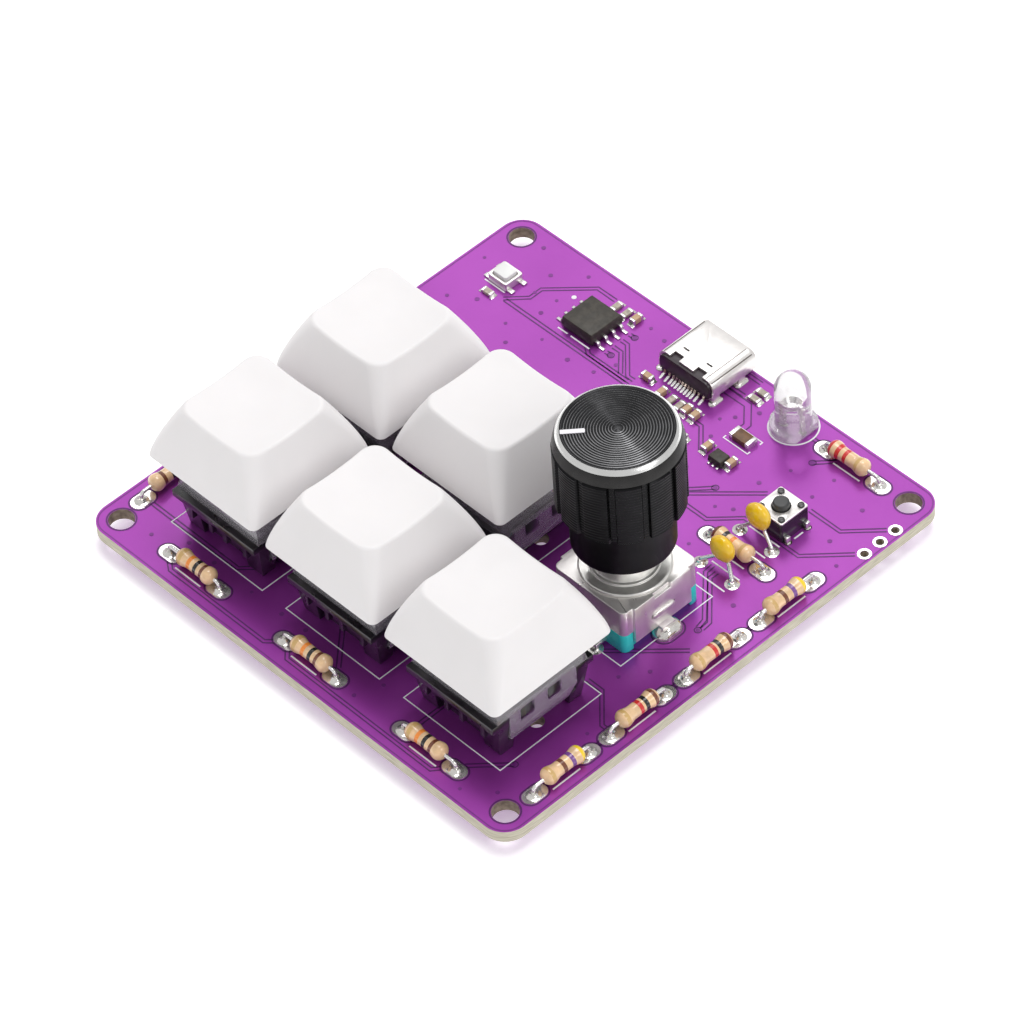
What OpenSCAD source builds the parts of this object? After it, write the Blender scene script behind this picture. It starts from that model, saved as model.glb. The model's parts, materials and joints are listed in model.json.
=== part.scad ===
// Five key macro keypad on a bare circuit board, with a push and turn encoder in the sixth place.
// The origin is the centre of the four mounting holes on the underside of the board, +Z is up.

/* [Board] */
// Width of the board
board_w = 70; // [64:1:90]
// Depth of the board
board_d = 70; // [64:1:90]
// Thickness of the board
board_t = 1.6; // [1.2:0.1:2.0]
// Corner radius of the board
board_r = 3; // [1:0.5:5]
// Distance from a board edge to a mounting hole's centre
mount_inset = 3; // [2.6:0.1:4]
// Diameter of a mounting hole
mount_hole_d = 3.2; // [2.2:0.1:3.4]

/* [Key grid] */
// Distance between neighbouring keys
key_pitch = 19.6; // [19.3:0.1:20.5]
// Place of the front middle key across the board
grid_x = -0.1; // [-1:0.1:1]
// Distance from the front edge to the middle of the front row of keys
row_inset = 14.5; // [13.5:0.1:15]
// Travel of a key
key_travel = 4; // [2:0.1:4]

/* [Key switch] */
// Width of the switch housing
housing_w = 13.9; // [13.4:0.1:14.2]
// Length over the two front and back flanges
flange_l = 15.5; // [14.6:0.1:15.8]
// Height of the underside of the flange over the board
flange_z = 5; // [4.6:0.1:5.4]
// Thickness of the flange
flange_t = 1; // [0.6:0.1:1.2]
// Height of the top of the clear cover over the board
cover_top_z = 11.6; // [11.2:0.1:12]
// Wall of the housing
housing_wall = 1.1; // [0.8:0.1:1.3]
// Wall of the clear cover
cover_wall = 1; // [0.7:0.1:1.2]
// Length of the cross above the stem's shoulder
cross_h = 3.6; // [3.2:0.1:3.8]
// Length of the feet that reach through the board, from its top
post_l = 3.5; // [3.4:0.1:4]
// Diameter of the centre post
post_d = 4; // [3.8:0.1:4.2]
// Diameter of the spring wire
spring_wire = 0.36; // [0.25:0.01:0.4]
// Mean diameter of the spring
spring_d = 4.1; // [3.9:0.1:4.3]
// Curls of the spring
spring_curls = 7; // [5:1:7]

/* [Keycap] */
// Width of a keycap at its lower edge
cap_w = 18.2; // [17.6:0.1:18.4]
// Width of a keycap's top
cap_top_w = 12.4; // [11.5:0.1:13.5]
// Height of a keycap
cap_h = 7.7; // [7.4:0.1:8.4]
// Wall of a keycap
cap_wall = 1.2; // [0.9:0.1:1.3]
// Depth of the finger dish, from its corners to its middle
cap_dish = 1; // [0.4:0.1:1.2]

/* [Encoder] */
// Width of the encoder
enc_w = 11.2; // [10.8:0.1:11.6]
// Depth of the encoder
enc_d = 11.8; // [11.4:0.1:12.4]
// Height of the encoder's metal cover over the board
enc_h = 6.5; // [6:0.1:7]
// Diameter of the shaft
shaft_d = 6; // [5.8:0.1:6.2]
// Height of the shaft's end over the board
shaft_top_z = 21; // [19:0.5:23]
// Diameter of the bushing
bushing_d = 7.4; // [7.2:0.1:7.6]
// Travel of the push switch under the shaft
push_travel = 0.5; // [0.2:0.1:0.6]

/* [Knob] */
// Diameter of the gripping part of the knob
knob_d = 15; // [14.4:0.1:16]
// Height of the knob
knob_h = 17.4; // [16.4:0.1:19]
// Diameter of the knob's plain lower part
knob_skirt_d = 12.1; // [11.8:0.1:13]
// Height of the knob's plain lower part
knob_skirt_h = 6.4; // [5:0.1:7]
// Height of the smooth band under the knob's top
knob_band_h = 2.2; // [1.6:0.1:3]
// Grooves round the knob
knob_grooves = 12; // [8:1:16]

/* [Socket] */
// Width of the cable socket
usb_w = 8.94; // [8.7:0.01:9.2]
// Height of the cable socket
usb_h = 3.26; // [3.1:0.01:3.4]
// Length of the cable socket's shell
usb_l = 7.2; // [6.8:0.1:7.4]
// Sheet of the cable socket's shell
usb_sheet = 0.3; // [0.2:0.05:0.35]

/* [Small parts] */
// Length of a wire resistor's body
res_l = 6; // [5.6:0.1:6.2]
// Diameter of a wire resistor's ends
res_d = 2.2; // [1.8:0.1:2.4]
// Distance between the two holes of a wire resistor
res_pitch = 8.5; // [8.2:0.1:8.8]
// Diameter of the wire leads
wire_d = 0.56; // [0.45:0.01:0.6]
// Width of a yellow capacitor
blob_w = 3.5; // [3:0.1:4]
// Height of a yellow capacitor
blob_h = 3.4; // [3:0.1:4]
// Thickness of a yellow capacitor
blob_t = 2.2; // [1.8:0.1:2.6]
// Diameter of the lamp's body
led_d = 5; // [4.8:0.1:5.2]
// Height of the lamp over the board
led_h = 8.6; // [8:0.1:9]
// Width of the reset button's body
reset_w = 4.4; // [4.2:0.1:4.6]
// Height of the reset button's metal plate
reset_h = 3; // [2.6:0.1:3.2]
// Travel of the reset button
reset_travel = 0.25; // [0.15:0.05:0.3]
// Travel of the boot button
boot_travel = 0.2; // [0.1:0.05:0.25]
// Wire and solder showing under the board
trim_l = 1.5; // [1:0.1:1.8]

/* [Hidden] */
$fn = 48;
eps = 0.01;
seat = board_t;
slide_gap = 0.15;
run_gap = 0.06;
hole_gap = 0.16;
seat_gap = 0.02;

// How far each keycap stands off its stem's shoulder
cap_lifts = [0.9, 0.1, 0, 0.9, 1];
// Column and row of each key, counted from the front middle one
key_cells = [[-1, 0], [0, 0], [1, 0], [-1, 1], [0, 1]];
front_y = -board_d / 2;
back_y = board_d / 2;
grid_y = front_y + row_inset;
back_row_y = grid_y + key_pitch;
// Share of the strip behind the keys at which the controller stands
chip_row_share = 0.365;
chip_row_y = back_row_y + chip_row_share * (back_y - back_row_y);
key_places = [for (c = key_cells) [grid_x + c[0] * key_pitch, grid_y + c[1] * key_pitch]];
enc_place = [grid_x + key_pitch, back_row_y];
mount_x = board_w / 2 - mount_inset;
mount_y = board_d / 2 - mount_inset;

// Key switch
cover_z = flange_z + flange_t;
floor_t = 1.2;
pole_d = 3;
stem_w = 7;
stem_l = 5.3;
shoulder_w = 8;
stem_bottom_z = 7.6;
shoulder_z = cover_top_z - cover_wall - slide_gap;
stem_top_z = cover_top_z + 0.2;
cross_w = 4;
cross_arm = 1.2;
cross_fit = 0.03;
skirt_y = 5.1;
skirt_bottom_z = 2.3;
skirt_t = 0.5;
skirt_gap = 0.1;
clip_places = [-2.4, 1.75];
clip_w = 1.85;
clip_z = 4.15;
clip_h = 1.6;
side_hole_x = 5.5;
side_hole_d = 1.9;
pin_places = [[-3.81, 2.54], [2.54, 5.08]];
pin_w = 0.9;
pin_t = 0.5;
pin_hole_d = 1.5;
leaf_h = 2;

// Keycap
cap_seat_z = stem_top_z + 0.1;
cap_inset = 1.5;
cap_base_z = cap_seat_z - cap_inset;
cap_roof = 1.6;
cap_bulge = 1.35;
cap_base_r = 0.9;
cap_top_r = 2.2;
cap_post_d = stem_l;

// Encoder and knob
enc_sheet = 0.4;
plate_out = 0.35;
enc_base_z = 2.7;
plate_z = 1.1;
plate_w = 8.8;
rotor_d = 8.6;
rotor_z = 3;
rotor_t = 1;
plunger_z = 1.1;
plunger_d = 4.4;
push_room = 0.1;
boss_d = 10.8;
boss_h = 0.4;
bushing_top_z = 11.3;
bushing_bore = shaft_d + 2 * run_gap;
flat_z = 13;
flat_cut = 1.5;
lug_w = 2;
lug_t = 0.4;
enc_pin_y = 7.5;
enc_pin_x = [-2.5, 0, 2.5];
push_pin_y = 7;
push_pin_x = [-2.5, 2.5];
lug_x = enc_w / 2 + 0.95;
lug_slot = [2.8, 1.5];
enc_pin = [0.7, 0.4];
enc_pin_hole_d = 1.1;
knob_z = 10.9;
insert_d = 9.6;
knob_top_t = 2.2;
groove_w = 0.9;
groove_t = 0.4;

// Wire parts, as place and turn
resistors = [
    for (n = [-1, 0, 1]) [grid_x + n * key_pitch, front_y + 3.35, 0],
    for (n = [0:3]) [board_w / 2 - 2.45, grid_y - 3.5 + n * 11.83, 90],
    [-board_w / 2 + 2.5, grid_y - 3.7, 90],
    [23.45, back_y - 3.4, 0],
    [23.3, back_row_y + 13.7, 0]
];
// Yellow capacitors, as place, lean and middle height
blobs = [[23.45, back_row_y + 16.65, 0.5, 3.8], [23.7, back_row_y + 10, 1.1, 3.3]];
blob_pitch = 5.08;
lead_sink = 0.25;
lead_hole_d = wire_d + 2 * hole_gap;
res_z = res_d / 2 + 0.15;
elbow_r = 0.6;
pad_d = 1.9;
res_pad = [3.3, 2.1];
led_place = [13.9, back_y - 3.3];
led_pitch = 2.54;
led_wire = 0.5;
led_flange_d = led_d + 0.8;

// Socket
usb_x = 0.15;
usb_rear_y = back_y + 0.1 - usb_l;
usb_leg_y = [usb_rear_y + 0.45, usb_rear_y + 4.65];
usb_leg_w = 1.1;
tongue_w = 6.7;
tongue_t = 0.7;
tongue_l = 5.4;
tongue_root_t = 1.2;
usb_pads = [-3.2, -2.4, -1.75, -1.25, -0.75, -0.25, 0.25, 0.75, 1.25, 1.75, 2.4, 3.2];

// Buttons
reset_place = [23.7, back_row_y + 20.6];
reset_pin_y = [-1.6, 1.6];
reset_pin_x = reset_w / 2 + 0.35;
reset_button_d = 2;
reset_top_z = 3.8;
reset_hole_d = 1;
rivet_x = 1.6;
rivet_d = 0.8;
boot_place = [-28.1, back_y - 9.4];
boot_w = 3.2;
boot_d = 2.9;
boot_h = 1.15;
boot_top_z = 1.6;

// Surface parts: place and turn
chip_caps = [[-3.9, back_y - 9.5, 0], [5.7, back_y - 13.5, 0], [-0.9, back_y - 10.2, 90],
    [3.25, back_y - 10.15, 90], [4.6, back_y - 10.15, 90], [-11.7, back_y - 3.7, 90],
    [9.15, back_y - 12.7, 90], [13.05, back_y - 12.7, 90]];
chip_res = [[-28, back_y - 12.4, 0], [0.7, back_y - 10.2, 90], [2.05, back_y - 10.2, 90],
    [-15, back_y - 3.7, 90], [-13.3, back_y - 3.7, 90], [7.65, back_y - 2.1, 0], [7.65, back_y - 3.4, 0]];
chip_l = 1.6;
chip_w = 0.8;
cap_chip_h = 0.8;
res_chip_h = 0.45;
chip_end = 0.35;
flash_place = [-14.95, back_y - 7.8];
flash_w = 5.2;
flash_h = 1.8;
flash_span = 7.9;
flash_pitch = 1.27;
controller_place = [5.5, chip_row_y];
controller_w = 7;
crystal_place = [-1.8, chip_row_y + 0.4];
regulator_place = [11.55, back_y - 13.2];
regulator_w = 2.1;
fuse_place = [11.2, back_y - 8.9];
header_x = board_w / 2 - 1.15;
header_pitch = 2.54;
header_y = [for (n = [-1:1]) back_y - 9.7 + n * header_pitch];

// Moves its children to a point on top of the board
module on_board(p) {
    translate([p[0], p[1], seat]) children();
}

// A box centred on its place, standing on z
module block(size, z) {
    translate([-size[0] / 2, -size[1] / 2, z]) cube(size);
}

// A tube or a rod from one height to another
module ring(d_out, d_in, z_low, z_high) {
    translate([0, 0, z_low]) difference() {
        cylinder(d = d_out, h = z_high - z_low);
        if (d_in > 0) translate([0, 0, -1]) cylinder(d = d_in, h = z_high - z_low + 2);
    }
}

// A flat outline with round corners, made of two bars and four discs
module round_rect(w, l, r) {
    square([w - 2 * r, l], center = true);
    square([w, l - 2 * r], center = true);
    for (x = [-1, 1], y = [-1, 1]) translate([x * (w / 2 - r), y * (l / 2 - r)]) circle(r = r);
}

// An outline with two round ends, along X
module stadium(l, w) {
    square([l - w, w], center = true);
    for (x = [-1, 1]) translate([x * (l - w) / 2, 0]) circle(d = w);
}

// A block whose four sides lean in, given its widths at the bottom and the top
module leaning_block(w_low, l_low, w_top, l_top, z_low, z_top) {
    intersection() {
        rotate([90, 0, 0]) translate([0, 0, -l_low]) linear_extrude(2 * l_low)
            polygon([[-w_low / 2, z_low], [w_low / 2, z_low], [w_top / 2, z_top], [-w_top / 2, z_top]]);
        rotate([90, 0, 90]) translate([0, 0, -w_low]) linear_extrude(2 * w_low)
            polygon([[-l_low / 2, z_low], [l_low / 2, z_low], [l_top / 2, z_top], [-l_top / 2, z_top]]);
    }
}

// Circuit board with every hole that something passes through
module circuit_board() {
    color("purple") linear_extrude(board_t) difference() {
        round_rect(board_w, board_d, board_r);
        for (x = [-mount_x, mount_x], y = [-mount_y, mount_y]) translate([x, y]) circle(d = mount_hole_d);
        for (p = key_places) translate(p) {
            circle(d = post_d + 2 * slide_gap);
            for (s = [-1, 1]) translate([s * side_hole_x, 0]) circle(d = side_hole_d);
            for (q = pin_places) translate(q) circle(d = pin_hole_d);
        }
        translate(enc_place) {
            for (x = enc_pin_x) translate([x, -enc_pin_y]) circle(d = enc_pin_hole_d);
            for (x = push_pin_x) translate([x, push_pin_y]) circle(d = enc_pin_hole_d);
            for (s = [-1, 1]) translate([s * lug_x, 0]) rotate(90) stadium(lug_slot[0], lug_slot[1]);
        }
        for (r = resistors) translate([r[0], r[1]]) rotate(r[2])
            for (s = [-1, 1]) translate([s * res_pitch / 2, 0]) circle(d = lead_hole_d);
        for (b = blobs, s = [-1, 1]) translate([b[0] + s * blob_pitch / 2, b[1]]) circle(d = lead_hole_d);
        for (s = [-1, 1]) translate([led_place[0] + s * led_pitch / 2, led_place[1]]) circle(d = lead_hole_d);
        for (sx = [-1, 1], y = reset_pin_y) translate([reset_place[0] + sx * reset_pin_x, reset_place[1] + y])
            circle(d = reset_hole_d);
        for (s = [-1, 1], y = usb_leg_y) translate([usb_x + s * (usb_w - usb_sheet) / 2, y])
            rotate(90) stadium(usb_leg_w + 0.5, 0.7);
        for (y = header_y) translate([header_x, y]) circle(d = 1);
    }
}

// Lower housing of a key switch, with its feet, flanges, clips and centre post
module switch_base(n) {
    inner_w = housing_w - 2 * (skirt_t + skirt_gap + housing_wall);
    inner_l = housing_w - 2 * housing_wall;
    side_x = housing_w / 2 - skirt_t - skirt_gap;
    clip_t = skirt_t + skirt_gap;
    color("dimgray") on_board(key_places[n - 1]) {
        difference() {
            union() {
                leaning_block(housing_w - 1.4, housing_w - 1.4, housing_w, housing_w, 0, flange_z);
                block([housing_w, flange_l, flange_t], flange_z);
            }
            block([inner_w, inner_l, flange_z + flange_t], floor_t);
            // the two sides where the cover's skirts hang
            for (s = [-1, 1]) translate([s * (side_x + housing_w / 2), 0, 0])
                block([housing_w, 2 * (skirt_y + skirt_gap), 2 * cover_z], skirt_bottom_z - 0.3);
            // room between the feet and under the two other walls
            for (s = [-1, 1]) translate([0, s * housing_w / 2, 0]) block([7.4, 3, 2.6], -eps);
            for (s = [-1, 1]) translate([s * housing_w / 2, 0, 0]) block([3, 8.6, 2.6], -eps);
            translate([0, 0, -eps]) cylinder(d = pole_d + 2 * run_gap, h = floor_t + 1);
            for (q = pin_places) translate(q)
                block([pin_w + 2 * seat_gap, pin_t + 2 * seat_gap, 2 * floor_t], -eps);
        }
        // ribs and latch recesses of the front and back walls
        for (s = [-1, 1], x = [-4.6, -1.2, 1.2, 4.6]) translate([x, s * (housing_w / 2 - 0.15), 0])
            block([0.7, 0.9, 2.3], flange_z - 2.3);
        // clips that hold the cover
        for (s = [-1, 1], y = clip_places) translate([s * (side_x - eps), y, clip_z]) scale([s, 1, 1])
            rotate([90, 0, 0]) translate([0, 0, -clip_w / 2]) linear_extrude(clip_w)
                polygon([[-0.3, 0], [clip_t, 0], [clip_t, 0.5], [0, clip_h], [-0.3, clip_h]]);
        difference() {
            union() {
                translate([0, 0, 0.3 - post_l]) cylinder(d = post_d, h = post_l - 0.3 + floor_t);
                translate([0, 0, -post_l]) cylinder(d1 = post_d - 0.8, d2 = post_d, h = 0.3);
            }
            translate([0, 0, stem_bottom_z - 5.6 - key_travel - 0.2])
                cylinder(d = pole_d + 2 * run_gap, h = post_l + floor_t + 1);
        }
    }
}

// Clear upper housing of a key switch, with two windowed skirts
module switch_cover(n) {
    skirt_x = housing_w / 2 - skirt_t / 2;
    top_w = 10.4;
    top_l = 11.4;
    color("thistle", 0.6) on_board(key_places[n - 1]) {
        difference() {
            leaning_block(housing_w, housing_w, top_w, top_l, cover_z, cover_top_z);
            leaning_block(housing_w - 2 * cover_wall, housing_w - 2 * cover_wall,
                top_w - 2 * cover_wall, top_l - 2 * cover_wall, cover_z - eps, cover_top_z - cover_wall);
            block([stem_w + 2 * slide_gap, stem_l + 2 * slide_gap, 4], cover_top_z - 2);
            translate([0, -4.6, 0]) block([3.4, 1.8, 4], cover_top_z - 2);
        }
        for (s = [-1, 1]) translate([s * skirt_x, 0, 0]) rotate([90, 0, 90])
            translate([0, 0, -skirt_t / 2]) linear_extrude(skirt_t) difference() {
                polygon([[-skirt_y, skirt_bottom_z], [skirt_y - 1.4, skirt_bottom_z],
                    [skirt_y, skirt_bottom_z + 1.2], [skirt_y, cover_z + 0.2], [-skirt_y, cover_z + 0.2]]);
                for (y = clip_places) translate([y - clip_w / 2 - 0.15, clip_z - 0.2])
                    square([clip_w + 0.3, clip_h + 0.4]);
            }
    }
}

// Sliding stem of a key switch: a cross on top, a shouldered body and a guide pole
module switch_stem(n) {
    pole_bottom = stem_bottom_z - 5.6;
    color("mediumpurple") on_board(key_places[n - 1]) {
        difference() {
            union() {
                block([stem_w, stem_l, stem_top_z - stem_bottom_z], stem_bottom_z);
                block([shoulder_w, stem_l, shoulder_z - stem_bottom_z], stem_bottom_z);
            }
            translate([0, 0, stem_bottom_z - eps]) difference() {
                cylinder(d = spring_d + spring_wire + 0.4, h = 1.4);
                translate([0, 0, -1]) cylinder(d = pole_d, h = 4);
            }
        }
        translate([0, 0, pole_bottom]) cylinder(d = pole_d, h = stem_bottom_z - pole_bottom + eps);
        block([cross_w, cross_arm, cross_h + eps], stem_top_z - eps);
        block([cross_arm, cross_w, cross_h + eps], stem_top_z - eps);
    }
}

// One unbroken helical wire, from the floor of the switch to the stem
spring_low = floor_t + spring_wire / 2 + 0.05;
spring_high = stem_bottom_z + 1.4 - spring_wire / 2 - 0.1;
spring_steps = spring_curls * 8;
function helix(i) = let (a = 360 * i / 8)
    [spring_d / 2 * cos(a), spring_d / 2 * sin(a),
        spring_low + (spring_high - spring_low) * i / spring_steps];
function ring_points(i) = let (a = 360 * i / 8, p = helix(i))
    [for (k = [0:5]) p + spring_wire / 2 * [cos(60 * k) * cos(a), cos(60 * k) * sin(a), sin(60 * k)]];
function gap_of(a, b) = min([for (p = ring_points(a), q = ring_points(b)) norm(p - q)]);
spring_self_gap = min([for (i = [0:7], j = [-1:1]) gap_of(i + 8, i + 16 + j)]);
echo(spring_self_gap = spring_self_gap);

module switch_spring(n) {
    rings = [for (i = [0:spring_steps]) each ring_points(i)];
    last = 6 * spring_steps;
    sides = [for (i = [0:spring_steps - 1], k = [0:5]) let (a = 6 * i + k, b = 6 * i + (k + 1) % 6)
        each [[a, b, b + 6], [a, b + 6, a + 6]]];
    ends = [for (k = [1:4]) each [[0, k + 1, k], [last, last + k, last + k + 1]]];
    color("silver") on_board(key_places[n - 1]) polyhedron(rings, concat(sides, ends));
}

// Outline of a keycap at a share t of its height: straight sides between round corners
function cap_half(t) = cap_w / 2 - (cap_w - cap_top_w) / 2 * pow(t, cap_bulge);
function cap_corner(t) = cap_base_r + (cap_top_r - cap_base_r) * t;
function cap_outline(t, z) = let (h = cap_half(t), r = cap_corner(t))
    [for (q = [0:3], s = [0:7]) let (a = 90 * (q + s / 7), m = [[1, 1], [-1, 1], [-1, -1], [1, -1]][q])
        [m[0] * (h - r) + r * cos(a), m[1] * (h - r) + r * sin(a), z]];
cap_rim_far = cap_top_w / 2 - cap_top_r * (1 - cos(45));
function dish_z(p) = cap_h - cap_dish * (1 - (p[0] * p[0] + p[1] * p[1]) / (2 * cap_rim_far * cap_rim_far));
function dished(points, share) = [for (p = points) let (x = p[0] * share, y = p[1] * share)
    [x, y, dish_z([x, y])]];

module cap_solid() {
    levels = [0, 0.16, 0.32, 0.47, 0.61, 0.74, 0.86, 0.96];
    rim = cap_outline(1, cap_h);
    loops = concat([for (t = levels) [for (p = cap_outline(t, 0))
        [p[0], p[1], t * dish_z(p * cap_half(1) / cap_half(t))]]],
        [dished(rim, 1), dished(rim, 0.96), dished(rim, 0.72), dished(rim, 0.4)]);
    m = len(rim);
    points = concat([for (l = loops) each l], [[0, 0, dish_z([0, 0])]]);
    top = len(loops) - 1;
    walls = [for (j = [0:top - 1], i = [0:m - 1]) let (a = j * m + i, b = j * m + (i + 1) % m)
        each [[a, b + m, b], [a, a + m, b + m]]];
    lid = [for (i = [0:m - 1]) [top * m + i, len(points) - 1, top * m + (i + 1) % m]];
    polyhedron(points, concat(walls, lid, [[for (i = [0:m - 1]) i]]));
}

// Hollow keycap with the socket that grips the stem's cross
module keycap(n) {
    lift = cap_lifts[n - 1];
    room_h = cap_h - cap_roof - cap_dish / 2;
    room_low = cap_w - 2 * cap_wall;
    room_top = 2 * cap_half(room_h / cap_h) - 2 * cap_wall - 0.3;
    color("whitesmoke") on_board(key_places[n - 1]) translate([0, 0, cap_base_z + lift]) {
        difference() {
            cap_solid();
            leaning_block(room_low, room_low, room_top, room_top, -eps, room_h);
        }
        difference() {
            translate([0, 0, cap_inset]) cylinder(d = cap_post_d, h = room_h - cap_inset + 0.2);
            block([cross_w + 2 * cross_fit, cross_arm + 2 * cross_fit, cross_h + 0.1], cap_inset - eps);
            block([cross_arm + 2 * cross_fit, cross_w + 2 * cross_fit, cross_h + 0.1], cap_inset - eps);
        }
    }
}

// Two sheet metal pins and contact leaves in each key switch
module switch_pins() {
    color("gold") for (p = key_places) on_board(p) for (q = pin_places) translate(q) {
        block([pin_w, pin_t, board_t + trim_l + floor_t + leaf_h], -board_t - trim_l);
    }
}

// Plastic base of the encoder, seen at its four corners
module encoder_base() {
    color("lightseagreen") on_board(enc_place) difference() {
        linear_extrude(enc_h - enc_sheet - 0.6) round_rect(enc_w - 2 * enc_sheet, enc_d - 2 * enc_sheet, 0.5);
        translate([0, 0, rotor_z - push_travel - push_room]) cylinder(d = rotor_d + 0.6, h = enc_h);
        translate([0, 0, plunger_z - push_travel - push_room])
            cylinder(d = plunger_d + 2 * slide_gap, h = enc_h);
    }
    color("lightseagreen") on_board(enc_place) linear_extrude(enc_base_z) difference() {
        round_rect(enc_w, enc_d, 0.8);
        round_rect(enc_w - 2 * enc_sheet - 0.2, enc_d - 2 * enc_sheet - 0.2, 0.5);
        for (s = [-1, 1]) translate([s * (enc_w / 2 - enc_sheet + 1), 0])
            square([2, plate_w + 0.2], center = true);
    }
}

// Folded steel cover of the encoder, with two side plates that end in mounting lugs
module encoder_can() {
    color("silver") on_board(enc_place) {
        difference() {
            translate([0, 0, enc_base_z]) linear_extrude(enc_h - enc_base_z) round_rect(enc_w, enc_d, 0.8);
            translate([0, 0, -eps]) linear_extrude(enc_h - enc_sheet)
                round_rect(enc_w - 2 * enc_sheet, enc_d - 2 * enc_sheet, 0.5);
            cylinder(d = shaft_d + 2.4, h = 2 * enc_h);
        }
        for (s = [-1, 1]) scale([s, 1, 1]) translate([enc_w / 2, 0, 0]) {
            difference() {
                translate([(plate_out - enc_sheet) / 2, 0, 0])
                    block([plate_out + enc_sheet, plate_w, enc_h - plate_z], plate_z);
                translate([plate_out, 0, 0]) block([2 * plate_out, 2.5, 1], enc_h - 0.6);
                translate([plate_out, 0, 0]) block([0.3, 3.6, 0.5], 3);
            }
            translate([lug_x - enc_w / 2, 0, 0]) block([lug_t, lug_w, plate_z + 0.3 + post_l], -post_l);
            translate([(lug_x - enc_w / 2 + lug_t / 2) / 2, 0, 0])
                block([lug_x - enc_w / 2 + lug_t / 2, lug_w, 0.5], plate_z - 0.2);
        }
    }
}

// Round boss and bushing that guide the shaft
module encoder_bushing() {
    color("lightgray") on_board(enc_place) rotate_extrude() polygon([
        [bushing_bore / 2, enc_h], [boss_d / 2, enc_h], [boss_d / 2, enc_h + boss_h - 0.15],
        [boss_d / 2 - 0.15, enc_h + boss_h], [bushing_d / 2 + 0.4, enc_h + boss_h],
        [bushing_d / 2 + 0.4, enc_h + boss_h + 0.3], [bushing_d / 2, enc_h + boss_h + 0.3],
        [bushing_d / 2, bushing_top_z - 0.3], [bushing_d / 2 - 0.2, bushing_top_z],
        [bushing_bore / 2, bushing_top_z]]);
}

// Turning shaft with its flat, and the contact rotor at its foot
module encoder_shaft() {
    color("silver") on_board(enc_place) difference() {
        rotate_extrude() polygon([[0, rotor_z - 0.8], [plunger_d / 2 - 0.4, rotor_z - 0.8],
            [plunger_d / 2 - 0.4, rotor_z], [rotor_d / 2, rotor_z], [rotor_d / 2, rotor_z + rotor_t],
            [shaft_d / 2, rotor_z + rotor_t],
            [shaft_d / 2, shaft_top_z - 0.5], [shaft_d / 2 - 0.5, shaft_top_z], [0, shaft_top_z]]);
        translate([-shaft_d, -shaft_d / 2 - shaft_d + flat_cut, flat_z])
            cube([2 * shaft_d, shaft_d, shaft_top_z]);
    }
}

// Sliding button under the shaft that works the push switch
module encoder_plunger() {
    color("ivory") on_board(enc_place) ring(plunger_d, 0, plunger_z, rotor_z - 0.8);
}

// Five soldered terminals of the encoder
module encoder_pins() {
    color("silver") on_board(enc_place) {
        for (x = enc_pin_x) translate([x, 0, 0]) bent_pin(-enc_pin_y, -enc_d / 2);
        for (x = push_pin_x) translate([x, 0, 0]) bent_pin(push_pin_y, enc_d / 2);
    }
}

// A flat pin that leaves a wall at y_from and turns down through the board at y_to
module bent_pin(y_to, y_from) {
    low = -board_t - trim_l;
    translate([0, y_to, 0]) block([enc_pin[0], enc_pin[1], 0.9 - low], low);
    translate([0, (y_to + y_from) / 2, 0]) block([enc_pin[0], abs(y_to - y_from), enc_pin[1]], 0.5);
}

// Turned and grooved metal knob, open below
module knob_body() {
    top = knob_h;
    grip_top = knob_h - knob_band_h;
    r = knob_d / 2;
    color("black") on_board(enc_place) translate([0, 0, knob_z]) difference() {
        rotate_extrude() polygon([[0, top - 0.1], [r - 1.15, top - 0.1], [r - 1.15, top],
            [r - 0.85, top - 0.05], [r - 0.35, top - 0.5], [r - 0.2, grip_top + 0.3],
            [r - 0.5, grip_top + 0.3], [r - 0.5, grip_top],
            [r - 0.15, grip_top], [r, grip_top - 0.15], [r, knob_skirt_h + 0.3], [r - 0.3, knob_skirt_h],
            [knob_skirt_d / 2, knob_skirt_h], [knob_skirt_d / 2, 0.2], [knob_skirt_d / 2 - 0.2, 0],
            [insert_d / 2, 0], [insert_d / 2, knob_h - knob_top_t], [0, knob_h - knob_top_t]]);
        for (n = [0:knob_grooves - 1]) rotate(360 * n / knob_grooves + 9) translate([r, 0, 0])
            block([2 * groove_t, groove_w, grip_top - knob_skirt_h + eps], knob_skirt_h - eps);
    }
}

// Plastic sleeve in the knob with the flatted hole for the shaft
module knob_insert() {
    low = bushing_top_z + 0.3 + push_travel - knob_z;
    hole = shaft_d / 2 + seat_gap;
    color("gray") on_board(enc_place) translate([0, 0, knob_z]) difference() {
        ring(insert_d - 2 * seat_gap, 0, low, knob_h - knob_top_t);
        difference() {
            translate([0, 0, low - 1]) cylinder(r = hole, h = shaft_top_z - knob_z - low + 1.5);
            translate([-shaft_d, -shaft_d / 2 - shaft_d + flat_cut - seat_gap, flat_z - knob_z + 0.1])
                cube([2 * shaft_d, shaft_d, shaft_top_z]);
        }
    }
}

// Rolled steel shell of the cable socket, open at the back edge of the board
module usb_shell() {
    r = usb_h / 2 - 0.35;
    color("silver") translate([usb_x, usb_rear_y, seat + usb_h / 2]) {
        difference() {
            rotate([-90, 0, 0]) linear_extrude(usb_l) difference() {
                round_rect(usb_w, usb_h, r);
                round_rect(usb_w - 2 * usb_sheet, usb_h - 2 * usb_sheet, r - usb_sheet);
            }
            for (x = [-1.9, 1.9]) translate([x, 0.35, 0]) block([1.5, 1.2, 2], usb_h / 2 - usb_sheet - 0.4);
            for (x = [-1.9, 1.9]) translate([x, 2, 0]) block([0.9, 0.25, 2], usb_h / 2 - usb_sheet - 0.4);
        }
        for (s = [-1, 1], y = usb_leg_y) translate([s * (usb_w - usb_sheet) / 2, y - usb_rear_y, 0])
            block([usb_sheet, usb_leg_w, usb_h / 2 + board_t + 0.6], -usb_h / 2 - board_t - 0.6);
    }
}

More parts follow.
